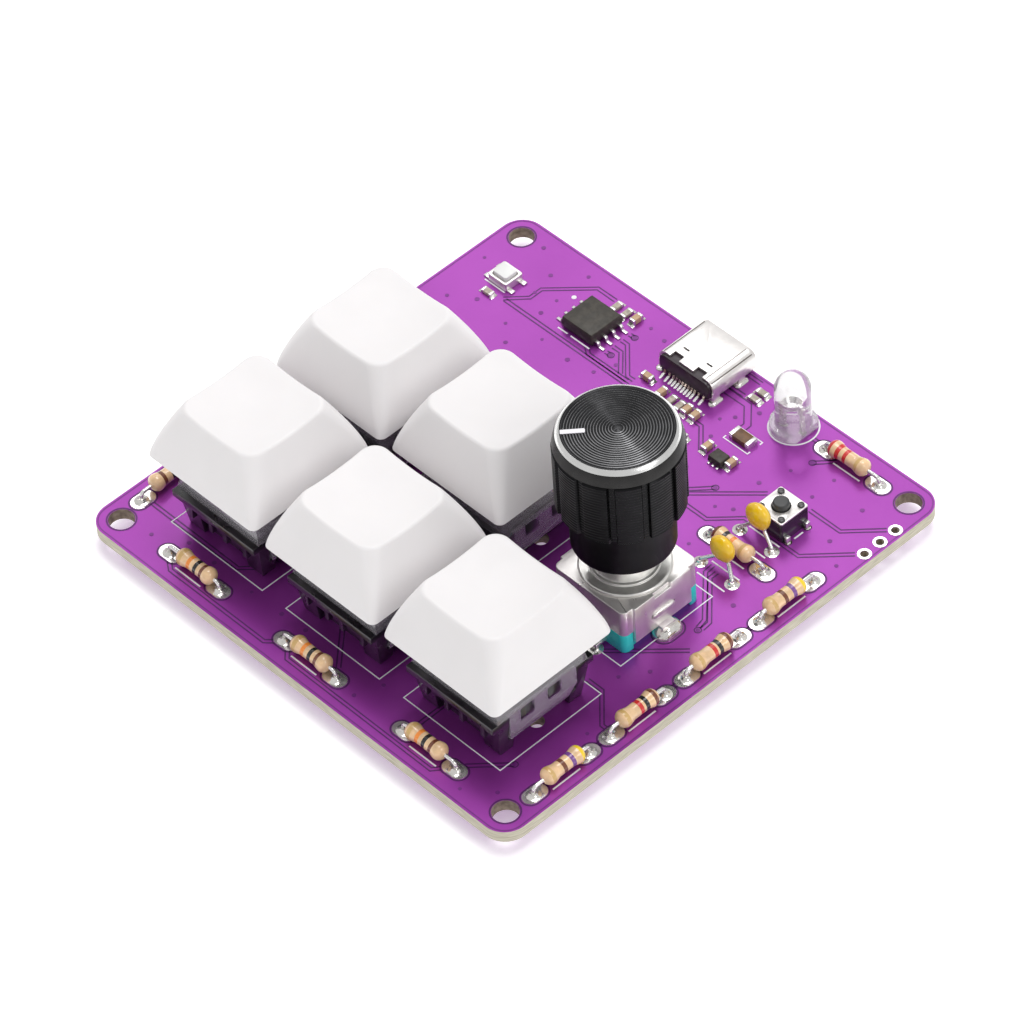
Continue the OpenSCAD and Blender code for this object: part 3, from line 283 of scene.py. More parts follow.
finishes = {
    "board": boardFinish(),
    "gap": plainFinish("maskGap", boardLook["gap"], 0.36, Metallic=0.3),
    "dip": plainFinish("viaDip", boardLook["dip"], 0.36, Metallic=0.3),
    "silk": plainFinish("whiteInk", (0.86, 0.84, 0.88), 0.55, grain=0.12, depth=0.006),
    "housing": plainFinish("blackHousing", (0.013, 0.012, 0.014), 0.3, mottle=0.3, grain=0.18, depth=0.01,
        Coat_Weight=0.6, Coat_Roughness=0.12),
    "stem": plainFinish("stemPlastic", (0.11, 0.04, 0.22), 0.35),
    "cap": plainFinish("whiteCap", (0.818, 0.796, 0.800), 0.5, mottle=0.012, blotch=6, grain=0.3, depth=0.004,
        Subsurface_Weight=0.08, Subsurface_Radius=(0.002, 0.0018, 0.0016)),
    "spring": plainFinish("springSteel", (0.62, 0.62, 0.64), 0.25, Metallic=1.0),
    "gold": plainFinish("platedContact", (0.83, 0.6, 0.28), 0.28, Metallic=1.0),
    "teal": plainFinish("tealPlastic", (0.04, 0.76, 0.72), 0.32, mottle=0.12),
    "steel": plainFinish("foldedSteel", (0.87, 0.84, 0.82), 0.32, mottle=0.07, blotch=1.6, grain=0.3,
        depth=0.002, stretch=(1, 1, 0.3), Metallic=0.78),
    "bushing": plainFinish("turnedZinc", (0.80, 0.79, 0.76), 0.33, mottle=0.08, blotch=1.0, grain=0.12,
        depth=0.001, Metallic=0.9),
    "ivory": plainFinish("ivoryPlastic", (0.75, 0.72, 0.64), 0.4),
    "anodised": turnedFinish("blackAnodised", (0.008, 0.008, 0.009), 0.33, 0.85, mottle=0.25, grain=0.2,
        depth=0.002, Metallic=0.8),
    "bareEdge": plainFinish("bareAluminium", (0.86, 0.86, 0.85), 0.2, grain=0.1, depth=0.004, Metallic=1.0),
    "sleeve": plainFinish("greySleeve", (0.07, 0.07, 0.075), 0.5),
    "socketBlack": plainFinish("plumBlackPlastic", (0.022, 0.012, 0.018), 0.34, mottle=0.3),
    "tinned": plainFinish("tinnedMetal", (0.88, 0.87, 0.85), 0.24, mottle=0.06, blotch=0.8, grain=0.9,
        depth=0.01, Metallic=0.85),
    "solder": plainFinish("brightSolder", (0.84, 0.82, 0.78), 0.13, mottle=0.12, blotch=0.9, grain=1.6,
        depth=0.018, Metallic=0.85),
    # a darker, warmer copy of the tinned metal for the USB contact feet: warm plating tone, and painted shade from
    # the socket's block over them
    "contactTin": plainFinish("contactTin", (0.60, 0.53, 0.44), 0.34, mottle=0.1, blotch=0.6, Metallic=0.9),
    # dark strips along the shell's folded seams and corners: painted shade
    "seamPaintedShade": plainFinish("seamShade", (0.13, 0.11, 0.10), 0.4, Metallic=0.6),
    "button": plainFinish("darkButton", (0.035, 0.036, 0.037), 0.36, mottle=0.2),
    "bootWhite": plainFinish("whiteButton", (0.8, 0.8, 0.79), 0.35),
    "chip": plainFinish("chipResin", (0.040, 0.034, 0.026), 0.5, mottle=0.35, blotch=0.9, grain=0.1, depth=0.008),
    "crystal": plainFinish("crystalLid", (0.62, 0.6, 0.55), 0.3, Metallic=1.0),
    "fuse": plainFinish("fuseBody", (0.14, 0.06, 0.018), 0.35, mottle=0.3, blotch=0.7),
    "ceramic": plainFinish("tanCeramic", (0.52, 0.35, 0.21), 0.45, mottle=0.12, blotch=0.8),
    "chipBody": plainFinish("greyResistive", (0.43, 0.38, 0.31), 0.4, mottle=0.3, blotch=0.5),
    "amber": plainFinish("amberResin", (0.97, 0.56, 0.014), 0.2, mottle=0.1, blotch=1.5, grain=0.9, depth=0.03,
        Coat_Weight=0.6, Coat_Roughness=0.08, Subsurface_Weight=0.1),
    "lacquer": plainFinish("tanLacquer", (0.82, 0.55, 0.31), 0.2, mottle=0.16, blotch=1.2, grain=0.6, depth=0.02,
        Coat_Weight=0.8, Coat_Roughness=0.08),
    # a lighter copy of the black anodised finish: painted sheen on the knob's smooth band
    "bandPaintedSheen": turnedFinish("turnedBandPaintedSheen", (0.034, 0.033, 0.033), 0.26, 0.9, mottle=0.2, grain=0.2, depth=0.002,
        Metallic=0.85),
    # a lighter copy of the black anodised finish: painted sheen over the knob's top
    "topPaintedSheen": turnedFinish("turnedTopPaintedSheen", (0.034, 0.034, 0.036), 0.28, 0.92, mottle=0.2, grain=0.2, depth=0.001,
        Metallic=0.85),
    # a much lighter copy of the black: a painted highlight line on one step of each ring of the knob's top
    "ringPaintedHighlight": turnedFinish("turnedRingPaintedHighlight", (0.34, 0.34, 0.35), 0.3, 0.8, mottle=0.2, blotch=1.5, grain=0.2,
        depth=0.002, Metallic=0.9),
    "cover": clearFinish("smokyClear", (0.84, 0.79, 0.87), 0.06, 1.16, 0.8, Coat_Weight=1.0, Coat_Roughness=0.05),
    "lamp": clearFinish("clearResin", (1, 1, 1), 0.03, 1.13, 0.78, Coat_Weight=1.0, Coat_Roughness=0.04),
}
bandColours = {"black": (0.012, 0.010, 0.010), "brown": (0.17, 0.045, 0.018), "red": (0.62, 0.03, 0.025),
               "orange": (0.88, 0.27, 0.04), "yellow": (0.93, 0.66, 0.02), "violet": (0.20, 0.07, 0.30),
               "gilt": (0.62, 0.40, 0.15)}
for colourName, colour in bandColours.items():
    finishes[colourName] = plainFinish(colourName + "Band", colour, 0.28, Coat_Weight=0.5, Coat_Roughness=0.1)


# Mesh helpers. Points are in mm, with z counted from the top of the board
def spot(x, y, z=0.0):
    return Vector((x, y, z + boardTop)) * mm


def smoothMesh(mesh, angle):
    mesh.shade_smooth()
    mesh.set_sharp_from_angle(angle=radians(angle))


def finishMesh(mesh, angle):
    shape = bmesh.new()
    shape.from_mesh(mesh)
    bmesh.ops.remove_doubles(shape, verts=shape.verts, dist=1e-7)
    bmesh.ops.recalc_face_normals(shape, faces=shape.faces)
    shape.to_mesh(mesh)
    shape.free()
    smoothMesh(mesh, angle)


def place(obj, body, nodes=(), slot=None):
    if nodes:
        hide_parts(*nodes)
    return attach(obj, body)


def addPiece(name, part, looks, body="board", nodes=(), slot=None, faceLooks=None, angle=40):
    # a part is points in mm over the board and faces as index lists, looks are names of finishes
    mesh = bpy.data.meshes.new(name)
    mesh.from_pydata([spot(*p) for p in part[0]], [], part[1])
    for look in looks:
        mesh.materials.append(finishes[look])
    if faceLooks:
        mesh.polygons.foreach_set("material_index", faceLooks)
    finishMesh(mesh, angle)
    return place(newObject(name, mesh), body, nodes, slot)


def evaluatedMesh(obj):
    bpy.context.view_layer.update()
    return bpy.data.meshes.new_from_object(obj.evaluated_get(bpy.context.evaluated_depsgraph_get()))


def bakeObject(obj):
    # turns an object with modifiers into one with a plain mesh
    mesh = evaluatedMesh(obj)
    mesh.name = obj.name
    obj.modifiers.clear()
    obj.data, old = mesh, obj.data
    bpy.data.meshes.remove(old)


def dressNode(node, look, edge, steps=2, like=None, shift=(0, 0, 0)):
    # a copy of a CAD node, or of its twin moved over, with its edges slightly broken and its faces smoothed
    mesh = frame["nodes"][like or node].data.copy()
    mesh.transform(Matrix.Translation([v * mm for v in shift]))
    shape = bmesh.new()
    shape.from_mesh(mesh)
    bmesh.ops.remove_doubles(shape, verts=shape.verts, dist=2e-6)
    bmesh.ops.dissolve_limit(shape, angle_limit=radians(2), verts=shape.verts, edges=shape.edges)
    shape.to_mesh(mesh)
    shape.free()
    mesh.materials.clear()
    mesh.materials.append(finishes[look])
    first, *rest = node.split("_")
    obj = newObject(first + "".join(word.capitalize() for word in rest) + "Piece", mesh)
    if edge:
        bevel = obj.modifiers.new("brokenEdges", "BEVEL")
        bevel.width, bevel.segments = edge * mm, steps
        bevel.limit_method, bevel.angle_limit = "ANGLE", radians(30)
        bevel.use_clamp_overlap = True
        bakeObject(obj)
    smoothMesh(obj.data, 35)
    return place(obj, bodyOf[node], [node])


def circlePoints(radius, count, centre=(0, 0)):
    angles = [2 * pi * i / count for i in range(count)]
    return [(centre[0] + radius * cos(a), centre[1] + radius * sin(a)) for a in angles]


def ovalOutline(length, width, count=40):
    angles, side = [2 * pi * i / count for i in range(count)], (length - width) / 2
    return [(copysign(side, cos(a)) + width / 2 * cos(a), width / 2 * sin(a)) for a in angles]


def skinRings(rings):
    # faces over rings of points, and the ring that each starts from; a ring of one point closes an end
    count = max(len(ring) for ring in rings)
    points, numbers, faces, segments = [], [], [], []
    for ring in rings:
        first = len(points)
        numbers.append([first] * count if len(ring) == 1 else range(first, first + count))
        points += ring
    for n, (low, high) in enumerate(zip(numbers, numbers[1:])):
        for i in range(count):
            j = (i + 1) % count
            corners = list(dict.fromkeys((low[i], low[j], high[j], high[i])))
            if len(corners) > 2:
                faces.append(corners)
                segments.append(n)
    return points, faces, segments


def spinProfile(profile, count):
    # turns (radius, height) pairs round the axis; a pair on the axis closes the shape
    return skinRings([[(0, 0, z)] if radius < 1e-6 else [(x, y, z) for x, y in circlePoints(radius, count)]
                      for radius, z in profile])


def loftRings(rings, start, end):
    # a skin over rings of equal length, closed by a point at each end
    return skinRings([[start], *rings, [end]])[:2]


def joinParts(parts):
    points, faces = [], []
    for partPoints, partFaces in parts:
        faces += [[i + len(points) for i in face] for face in partFaces]
        points += partPoints
    return points, faces


def slab(outline, low, high):
    n = len(outline)
    points = [(x, y, low) for x, y in outline] + [(x, y, high) for x, y in outline]
    faces = [list(range(n))[::-1], list(range(n, 2 * n))]
    return points, faces + [[i, (i + 1) % n, n + (i + 1) % n, n + i] for i in range(n)]


def block(left, right, halfDepth, low, high):
    return slab([(left, -halfDepth), (right, -halfDepth), (right, halfDepth), (left, halfDepth)], low, high)


def shifted(part, move, turn=0.0):
    c, s = cos(turn), sin(turn)
    return [(x * c - y * s + move[0], x * s + y * c + move[1], z + move[2]) for x, y, z in part[0]], part[1]


# Geometry Nodes helpers
def newTree(name, inputs):
    # inputs are names with their first values; geometry comes before them and the material after
    tree = bpy.data.node_groups.new(name, "GeometryNodeTree")
    kinds = {float: "Float", int: "Int", tuple: "Vector"}
    sockets = [("Geometry", "Geometry", None)] + [(label, kinds[type(v)], v) for label, v in inputs.items()]
    for label, kind, value in sockets + [("Material", "Material", None)]:
        socket = tree.interface.new_socket(label, in_out="INPUT", socket_type="NodeSocket" + kind)
        if value is not None:
            socket.default_value = value
    tree.interface.new_socket("Geometry", in_out="OUTPUT", socket_type="NodeSocketGeometry")
    return tree, tree.nodes.new("NodeGroupInput").outputs


def endTree(tree, geometry, given):
    real = outOf(tree, "GeometryNodeRealizeInstances", {"Geometry": geometry})
    dressed = outOf(tree, "GeometryNodeSetMaterial", {"Geometry": real, "Material": given["Material"]})
    tree.links.new(dressed, tree.nodes.new("NodeGroupOutput").inputs[0])
    return tree


def growPiece(name, points, edges, tree, values, look, body="board", nodes=(), slot=None, angle=40):
    # runs a node tree on a mesh of points and lines, and keeps its result as a plain mesh
    mesh = bpy.data.meshes.new(name)
    mesh.from_pydata([spot(*p) for p in points], edges, [])
    obj = newObject(name, mesh)
    modifier = obj.modifiers.new("grow", "NODES")
    modifier.node_group = tree
    values = {**values, "Material": finishes[look]}
    for item in tree.interface.items_tree:
        if item.item_type == "SOCKET" and item.in_out == "INPUT" and item.name in values:
            modifier[item.identifier] = values[item.name]
    bakeObject(obj)
    smoothMesh(obj.data, angle)
    return place(obj, body, nodes, slot)


def chain(lines):
    # joins open or closed point lists into one set of points and edges
    points, edges = [], []
    for line in lines:
        first = len(points)
        closed = line[0] == line[-1]
        points += [(*p, 0.0) if len(p) == 2 else p for p in (line[:-1] if closed else line)]
        edges += [(i, i + 1) for i in range(first, len(points) - 1)]
        if closed:
            edges.append((len(points) - 1, first))
    return points, edges


def ribbonTree(name, twin):
    # flat strips along lines: one wide strip, or the two edges of a track
    tree, given = newTree(name, {"Width": 0.2 * mm, "Thickness": 0.02 * mm, "Track Half": 0.2 * mm})
    curve = outOf(tree, "GeometryNodeMeshToCurve", {"Mesh": given["Geometry"]})
    level = outOf(tree, "GeometryNodeSetCurveNormal", {"Curve": curve}, mode="Z_UP")
    strip = outOf(tree, "GeometryNodeCurvePrimitiveQuadrilateral",
                  {"Width": given["Width"], "Height": given["Thickness"]})
    if twin:
        joined = addNode(tree, "GeometryNodeJoinGeometry")
        for side in (-1, 1):
            offset = outOf(tree, "ShaderNodeCombineXYZ", {"X": mathOf(tree, "MULTIPLY", given["Track Half"], side)})
            moved = outOf(tree, "GeometryNodeTransform", {"Geometry": strip, "Translation": offset})
            tree.links.new(moved, joined.inputs[0])
        strip = joined.outputs[0]
    swept = outOf(tree, "GeometryNodeCurveToMesh", {"Curve": level, "Profile Curve": strip, "Fill Caps": True})
    return endTree(tree, swept, given)


def discTree():
    # thin discs of slightly uneven size on points
    tree, given = newTree("discs", {"Radius": 0.3 * mm, "Thickness": 0.03 * mm, "Seed": 7})
    points = outOf(tree, "GeometryNodeMeshToPoints", {"Mesh": given["Geometry"]})
    disc = outOf(tree, "GeometryNodeMeshCylinder", {"Vertices": 14, "Radius": given["Radius"],
                                                    "Depth": given["Thickness"]})
    size = outOf(tree, "FunctionNodeRandomValue", {"Min": 0.8, "Max": 1.15, "Seed": given["Seed"]})
    many = outOf(tree, "GeometryNodeInstanceOnPoints", {"Points": points, "Instance": disc, "Scale": size})
    return endTree(tree, many, given)


def wireTree():
    # round wire along lines, with its corners bent to a radius
    tree, given = newTree("bentWire", {"Radius": 0.28 * mm, "Bend": 0.6 * mm})
    curve = outOf(tree, "GeometryNodeMeshToCurve", {"Mesh": given["Geometry"]})
    bent = outOf(tree, "GeometryNodeFilletCurve", {"Curve": curve, "Radius": given["Bend"], "Count": 5,
                                                   "Limit Radius": True}, mode="POLY")
    section = outOf(tree, "GeometryNodeCurvePrimitiveCircle", {"Resolution": 14, "Radius": given["Radius"]})
    swept = outOf(tree, "GeometryNodeCurveToMesh", {"Curve": bent, "Profile Curve": section, "Fill Caps": True})
    return endTree(tree, swept, given)


def flatPiece(name, outlines, low, high):
    # a flat plate with holes: the first outline is its edge, the rest are its holes
    curve = bpy.data.curves.new(name, "CURVE")
    curve.dimensions, curve.fill_mode, curve.extrude = "2D", "BOTH", (high - low) / 2
    for outline in outlines:
        spline = curve.splines.new("POLY")
        spline.points.add(len(outline) - 1)
        spline.use_cyclic_u = True
        for point, (x, y) in zip(spline.points, outline):
            point.co = (x, y, 0, 1)
    carrier = newObject(name, curve)
    mesh = evaluatedMesh(carrier)
    points = [(v.co.x, v.co.y, v.co.z + (low + high) / 2) for v in mesh.vertices]
    faces = [list(f.vertices) for f in mesh.polygons]
    bpy.data.objects.remove(carrier)
    bpy.data.meshes.remove(mesh)
    bpy.data.curves.remove(curve)
    return points, faces


# Keycaps
keycap = {
    "lifts": [0.9, 0.1, 0.0, 0.9, 1.0], "seat": 10.4, "width": 18.2, "topWidth": 12.4, "height": 7.7,
    "bulge": 1.35, "cornerLow": 0.9, "cornerHigh": 2.2, "dish": 1.0, "dishReach": 5.556, "rimStart": 0.948,
    "rimSteps": 7, "wallLevels": (0.015, 0.1, 0.2, 0.3, 0.4, 0.5, 0.6, 0.7, 0.78, 0.86),
    "dishShares": (1, 0.88, 0.74, 0.6, 0.46, 0.32, 0.18, 0.08),
    "wall": 1.2, "footEdge": 0.12, "roomHeight": 5.6, "roomTop": 11.73, "roomCorner": 0.5,
    # rounding of the room's upper corner: out from its wall and up from its ceiling
    "roomRound": [(-0.2, 0), (0.15, -0.3)],
    "postWidth": 5.3, "postBottom": 1.5, "postOverlap": 0.05, "crossLength": 4.06, "crossWidth": 1.26,
}


def squareRing(half, corner):
    # a square with round corners, divided along its corners and its straights
    turns, straights = 10, 8
    points, flat, signs = [], half - corner, ((1, 1), (-1, 1), (-1, -1), (1, -1))
    for quarter, (sx, sy) in enumerate(signs):
        arc = [radians(90 * (quarter + step / turns)) for step in range(turns + 1)]
        points += [(sx * flat + corner * cos(a), sy * flat + corner * sin(a)) for a in arc]
        nx, ny = signs[(quarter + 1) % 4]
        startX, startY = points[-1]
        endX, endY = nx * flat + corner * cos(arc[-1]), ny * flat + corner * sin(arc[-1])
        for step in range(1, straights):
            t = step / straights
            points.append((startX + (endX - startX) * t, startY + (endY - startY) * t))
    return points


def capHalf(t):
    return keycap["width"] / 2 - (keycap["width"] - keycap["topWidth"]) / 2 * t ** keycap["bulge"]


def capDish(x, y):
    return keycap["height"] - keycap["dish"] * (1 - (x * x + y * y) / (2 * keycap["dishReach"] ** 2))


def makeKeycap(number):
    k = keycap

    def innerRing(half, corner, z):
        return [(x, y, z) for x, y in squareRing(half, corner)]

    def wallRing(t):
        ring = squareRing(capHalf(t), k["cornerLow"] + (k["cornerHigh"] - k["cornerLow"]) * t)
        scale = capHalf(1) / capHalf(t)
        return [(x, y, t * capDish(x * scale, y * scale)) for x, y in ring]

    def dishRing(share):
        ring = [(x * share, y * share) for x, y in squareRing(capHalf(1), k["cornerHigh"])]
        return [(x, y, capDish(x, y)) for x, y in ring]

    # from the room's ceiling down to the foot, up the wall, round the shoulder and over the dish
    ceiling, roomHalf, corner = k["roomHeight"], k["roomTop"] / 2, k["roomCorner"]
    rings = [innerRing(roomHalf + out, corner, ceiling + up) for out, up in k["roomRound"]]
    rings += [innerRing(k["width"] / 2 - k["wall"], corner, 0),
              innerRing(k["width"] / 2 - k["footEdge"], k["cornerLow"], 0)]
    rings += [wallRing(t) for t in k["wallLevels"]]
    low, sharp, high = wallRing(k["rimStart"]), dishRing(1), dishRing(k["rimStart"])
    rings.append(low)
    for step in range(1, k["rimSteps"]):
        t = step / k["rimSteps"]
        rings.append([tuple((1 - t) ** 2 * a + 2 * t * (1 - t) * b + t * t * c for a, b, c in zip(p, q, r))
                      for p, q, r in zip(low, sharp, high)])
    rings += [dishRing(share * k["rimStart"]) for share in k["dishShares"]]
    shell = loftRings(rings, (0, 0, ceiling), (0, 0, capDish(0, 0)))
    # the post under it, with a socket for the stem's cross
    long, wide = k["crossLength"] / 2, k["crossWidth"] / 2
    quarter = [(long, -wide), (long, wide), (wide, wide)]
    cross = [(x * c - y * s, x * s + y * c) for c, s in ((1, 0), (0, 1), (-1, 0), (0, -1)) for x, y in quarter]
    post = flatPiece("capPost", [circlePoints(k["postWidth"] / 2, 48), cross], k["postBottom"],
                     ceiling + k["postOverlap"])
    x, y = layout["keys"][number - 1]
    cap = shifted(joinParts([shell, post]), (x, y, k["seat"] + k["lifts"][number - 1]))
    addPiece("keycap%d" % number, cap, ["cap"], "key_%d" % number, ["keycap_%d" % number])


# Knob of the encoder
knob = {
    "bottom": 10.9, "radius": 7.5, "height": 17.4, "skirtRadius": 6.05, "skirtHeight": 6.4, "gripTop": 15.2,
    "bore": 4.8, "boreTop": 15.2, "foot": 0.2, "skirtSteps": 24, "latheDepth": 0.012, "sides": 160,
    "topPitch": 0.33, "topDepth": 0.11, "topReach": 6.27, "topDrop": 0.1,
    "ridgePitch": 0.42, "ridgeDepth": 0.05, "grooves": 12, "grooveWidth": 0.9, "grooveDepth": 0.4, "turn": 9,
    "pointerAngle": 229, "pointerWidth": 0.62, "pointerFrom": 3.6, "pointerTo": 6.4, "pointerCut": 0.1,
    "pointerLevels": (0.2, 0.085),
    # profile under the radius: inwards from it, and up from the grip's top or down from the knob's top
    "core": [(0.55, -0.05), (0.35, 0), (0.35, 0.12), (0.16, 0.12), (0.08, 0.2)],
    "brightRing": [(0.42, 0.62), (0.50, 0.52), (0.62, 0.34), (0.78, 0.12), (0.95, 0), (1.02, 0.05)],
}


def makeKnob():
    k = knob
    r, top, grip, skirt, neck = k["radius"], k["height"], k["gripTop"], k["skirtRadius"], k["skirtHeight"]
    # bore, foot and the skirt's fine lathe marks
    profile = [(0, k["boreTop"]), (k["bore"], k["boreTop"]), (k["bore"], 0), (skirt - k["foot"], 0),
               (skirt - 0.06, 0.06), (skirt, k["foot"])]
    for n in range(1, k["skirtSteps"]):
        height = k["foot"] + (neck - k["foot"]) * n / k["skirtSteps"]
        profile.append((skirt - k["latheDepth"] * (n % 2), height))
    # core under the grip, smooth band, and the bright ring round the top
    profile += [(skirt, neck), (r - 0.6, neck)]
    bandStart = len(profile)
    profile += [(r - inward, grip + up) for inward, up in k["core"]]
    ringStart = len(profile) + 1
    profile += [(r - inward, top - down) for inward, down in k["brightRing"]]
    ringEnd = len(profile) - 1
    # the top's turned waves, of four steps each; one step of each wave carries a painted highlight and the rest
    # painted sheen
    topStart, face = ringEnd + 1, top - k["topDrop"]
    profile.append((k["topReach"] + 0.08, face))
    for n in range(int(k["topReach"] / k["topPitch"]) * 4 - 1):
        sunk = k["topDepth"] * (0.5 - 0.5 * cos(n * pi / 2))
        profile.append((k["topReach"] - n * k["topPitch"] / 4, face - sunk))
    profile.append((0, face))

    def lookOf(segment):
        # the top takes the lighter copy with painted sheen, and one step of each wave a painted highlight
        if segment >= topStart:
            return "ringPaintedHighlight" if segment > topStart and (segment - topStart) % 4 == 0 else "topPaintedSheen"
        # the smooth band takes the lighter copy with painted sheen
        if bandStart <= segment < ringEnd:
            return "bandPaintedSheen" if segment < ringStart else "bareEdge"
        return "anodised"

    points, faces, segments = spinProfile(profile, k["sides"])
    w, start, end = k["pointerWidth"] / 2, k["pointerFrom"], k["pointerTo"]
    cut, (low, high) = k["pointerCut"], k["pointerLevels"]
    tip = [(end, -w), (end, w), (start + cut, w), (start, w - cut), (start, cut - w), (start + cut, -w)]
    pointer = shifted(slab(tip, top - low, top - high), (0, 0, 0), radians(k["pointerAngle"]))
    names = ["anodised", "bareEdge", "silk", "ringPaintedHighlight", "bandPaintedSheen", "topPaintedSheen"]
    looks = [names.index(look) for look in [lookOf(s) for s in segments] + ["silk"] * len(pointer[1])]
    whole = shifted(joinParts([(points, faces), pointer]), (*layout["encoder"], k["bottom"]))
    addPiece("knobBody", whole, names, "knob", ["knob_body"], faceLooks=looks, angle=30)


def gripTree():
    # a tube whose radius is set by height and angle: fine ridges, and upright grooves
    tree, given = newTree("knobGrip", {
        "Radius": 7.5 * mm, "Height": 8.8 * mm, "Ridge Pitch": 0.42 * mm, "Ridge Depth": 0.05 * mm,
        "Grooves": 12.0, "Groove Share": 0.23, "Groove Depth": 0.4 * mm, "Groove Soft": 0.1,
        "Round End": 0.16 * mm, "Turn": 0.16, "Place": (0, 0, 0)})

    def sums(kind, first, second=0.0):
        return mathOf(tree, kind, first, second)

    tube = outOf(tree, "GeometryNodeMeshCylinder", {"Vertices": 432, "Side Segments": 88, "Radius": given["Radius"],
                                                    "Depth": given["Height"]})
    where = outOf(tree, "GeometryNodeInputPosition")
    x, y, z = addNode(tree, "ShaderNodeSeparateXYZ", {"Vector": where}).outputs
    angle = sums("SUBTRACT", sums("ARCTAN2", y, x), given["Turn"])
    wave = sums("COSINE", sums("MULTIPLY", angle, given["Grooves"]))
    edge = sums("COSINE", sums("MULTIPLY", given["Groove Share"], pi))
    cut = outOf(tree, "ShaderNodeMapRange", {"Value": wave, "From Min": sums("SUBTRACT", edge, 0.03),
                                             "From Max": sums("ADD", edge, given["Groove Soft"])},
                interpolation_type="SMOOTHSTEP")
    ridge = sums("COSINE", sums("MULTIPLY", sums("DIVIDE", z, given["Ridge Pitch"]), 2 * pi))
    ridge = sums("MULTIPLY", sums("SUBTRACT", 1.0, ridge), sums("MULTIPLY", given["Ridge Depth"], 0.5))
    straight = sums("SUBTRACT", sums("MULTIPLY", given["Height"], 0.5), given["Round End"])
    ends = sums("MAXIMUM", sums("SUBTRACT", sums("ABSOLUTE", z), straight), 0.0)
    loss = sums("ADD", sums("ADD", sums("MULTIPLY", cut, given["Groove Depth"]), ridge), ends)
    share = sums("DIVIDE", sums("SUBTRACT", given["Radius"], loss), given["Radius"])
    newPlace = outOf(tree, "ShaderNodeCombineXYZ", {"X": sums("MULTIPLY", x, share),
                                                    "Y": sums("MULTIPLY", y, share), "Z": z})
    shaped = outOf(tree, "GeometryNodeSetPosition", {"Geometry": tube, "Position": newPlace})
    moved = outOf(tree, "GeometryNodeTransform", {"Geometry": shaped, "Translation": given["Place"]})
    return endTree(tree, moved, given)


def makeGrip():
    k = knob
    height = k["gripTop"] - k["skirtHeight"]
    centre = spot(*layout["encoder"], k["bottom"] + k["skirtHeight"] + height / 2)
    share = k["grooveWidth"] / (2 * pi * k["radius"] / k["grooves"])
    growPiece("knobGrip", [(0, 0, 0)], [], gripTree(),
              {"Radius": k["radius"] * mm, "Height": height * mm, "Ridge Pitch": k["ridgePitch"] * mm,
               "Ridge Depth": k["ridgeDepth"] * mm, "Grooves": float(k["grooves"]), "Groove Share": share,
               "Groove Depth": k["grooveDepth"] * mm, "Turn": radians(k["turn"]), "Place": centre},
              "anodised", "knob", slot="knob_black", angle=30)


# Encoder under the knob
encoder = {
    "canHalf": 5.6, "plateOut": 0.35, "tabHeight": 3.2, "tabLength": 3.4, "tabWidth": 0.95, "tabProud": 0.32,
    "tabLevels": ((1, -0.1), (1, 0.3), (0.9, 0.75), (0.6, 1.0)),
    # CAD nodes that keep their shape: finish, width of the broken edges in mm, and steps in their rounding
    "dressed": [("encoder_can", "steel", 0.12, 3), ("encoder_base", "teal", 0.05),
                ("encoder_bushing", "bushing", 0.08), ("encoder_shaft", "bushing", 0.08),
                ("encoder_plunger", "ivory", 0.1), ("encoder_pins", "tinned", 0.04),
                ("knob_insert", "sleeve", 0.05)],
}


def makeEncoder():
    # pressed tabs on the two side plates
    k = encoder
    rings = [[(k["tabProud"] * high, y * s, z * s) for y, z in ovalOutline(k["tabLength"], k["tabWidth"], 32)]
             for s, high in k["tabLevels"]]
    tab = loftRings(rings, (-0.03, 0, 0), (k["tabProud"], 0, 0))
    reach = k["canHalf"] + k["plateOut"]
    tabs = [shifted(tab, (reach * cos(turn), 0, k["tabHeight"]), turn) for turn in (0, pi)]
    addPiece("plateTabs", shifted(joinParts(tabs), (*layout["encoder"], 0)), ["steel"], slot="steel_bright")
    for row in k["dressed"]:
        dressNode(*row)


# Key switches
spring = {"radius": 1.8696, "wire": 0.18, "curls": 7, "curlSteps": 28, "closeCoil": 1.6, "low": 1.25, "high": 8.9,
          "floor": 1.2, "travel": 4.0}


def makeSpring(number, tree):
    # open coils with a close one at each end
    s = spring
    x, y = layout["keys"][number - 1]
    curls, wire = s["curls"], s["wire"]
    steps, line = curls * s["curlSteps"], []
    for n in range(steps + 1):
        turns = n / steps * curls
        close = (min(turns, 1) + max(0, turns - curls + 1)) * wire * s["closeCoil"]
        rise = min(1, max(0, (turns - 1) / (curls - 2)))
        z = s["low"] + wire + close + rise * (s["high"] - s["low"] - 2 * wire * (1 + s["closeCoil"]))
        a = 2 * pi * turns
        line.append((x + s["radius"] * cos(a), y + s["radius"] * sin(a), z))
    piece = growPiece("switchSpring%d" % number, *chain([line]), tree, {"Radius": wire * mm, "Bend": 0.0},
                      "spring", nodes=["switch_spring_%d" % number], angle=60)
    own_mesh(piece)


def makeSwitches():
    tree = wireTree()
    first = layout["keys"][0]
    for number, key in enumerate(layout["keys"], 1):
        shift = (key[0] - first[0], key[1] - first[1], 0)
        for kind, look, edge in (("base", "housing", 0.06), ("cover", "cover", 0.05), ("stem", "stem", 0.05)):
            dressNode("switch_%s_%d" % (kind, number), look, edge, like="switch_%s_1" % kind, shift=shift)
        makeSpring(number, tree)
        makeKeycap(number)
    dressNode("switch_pins", "gold", 0.03)


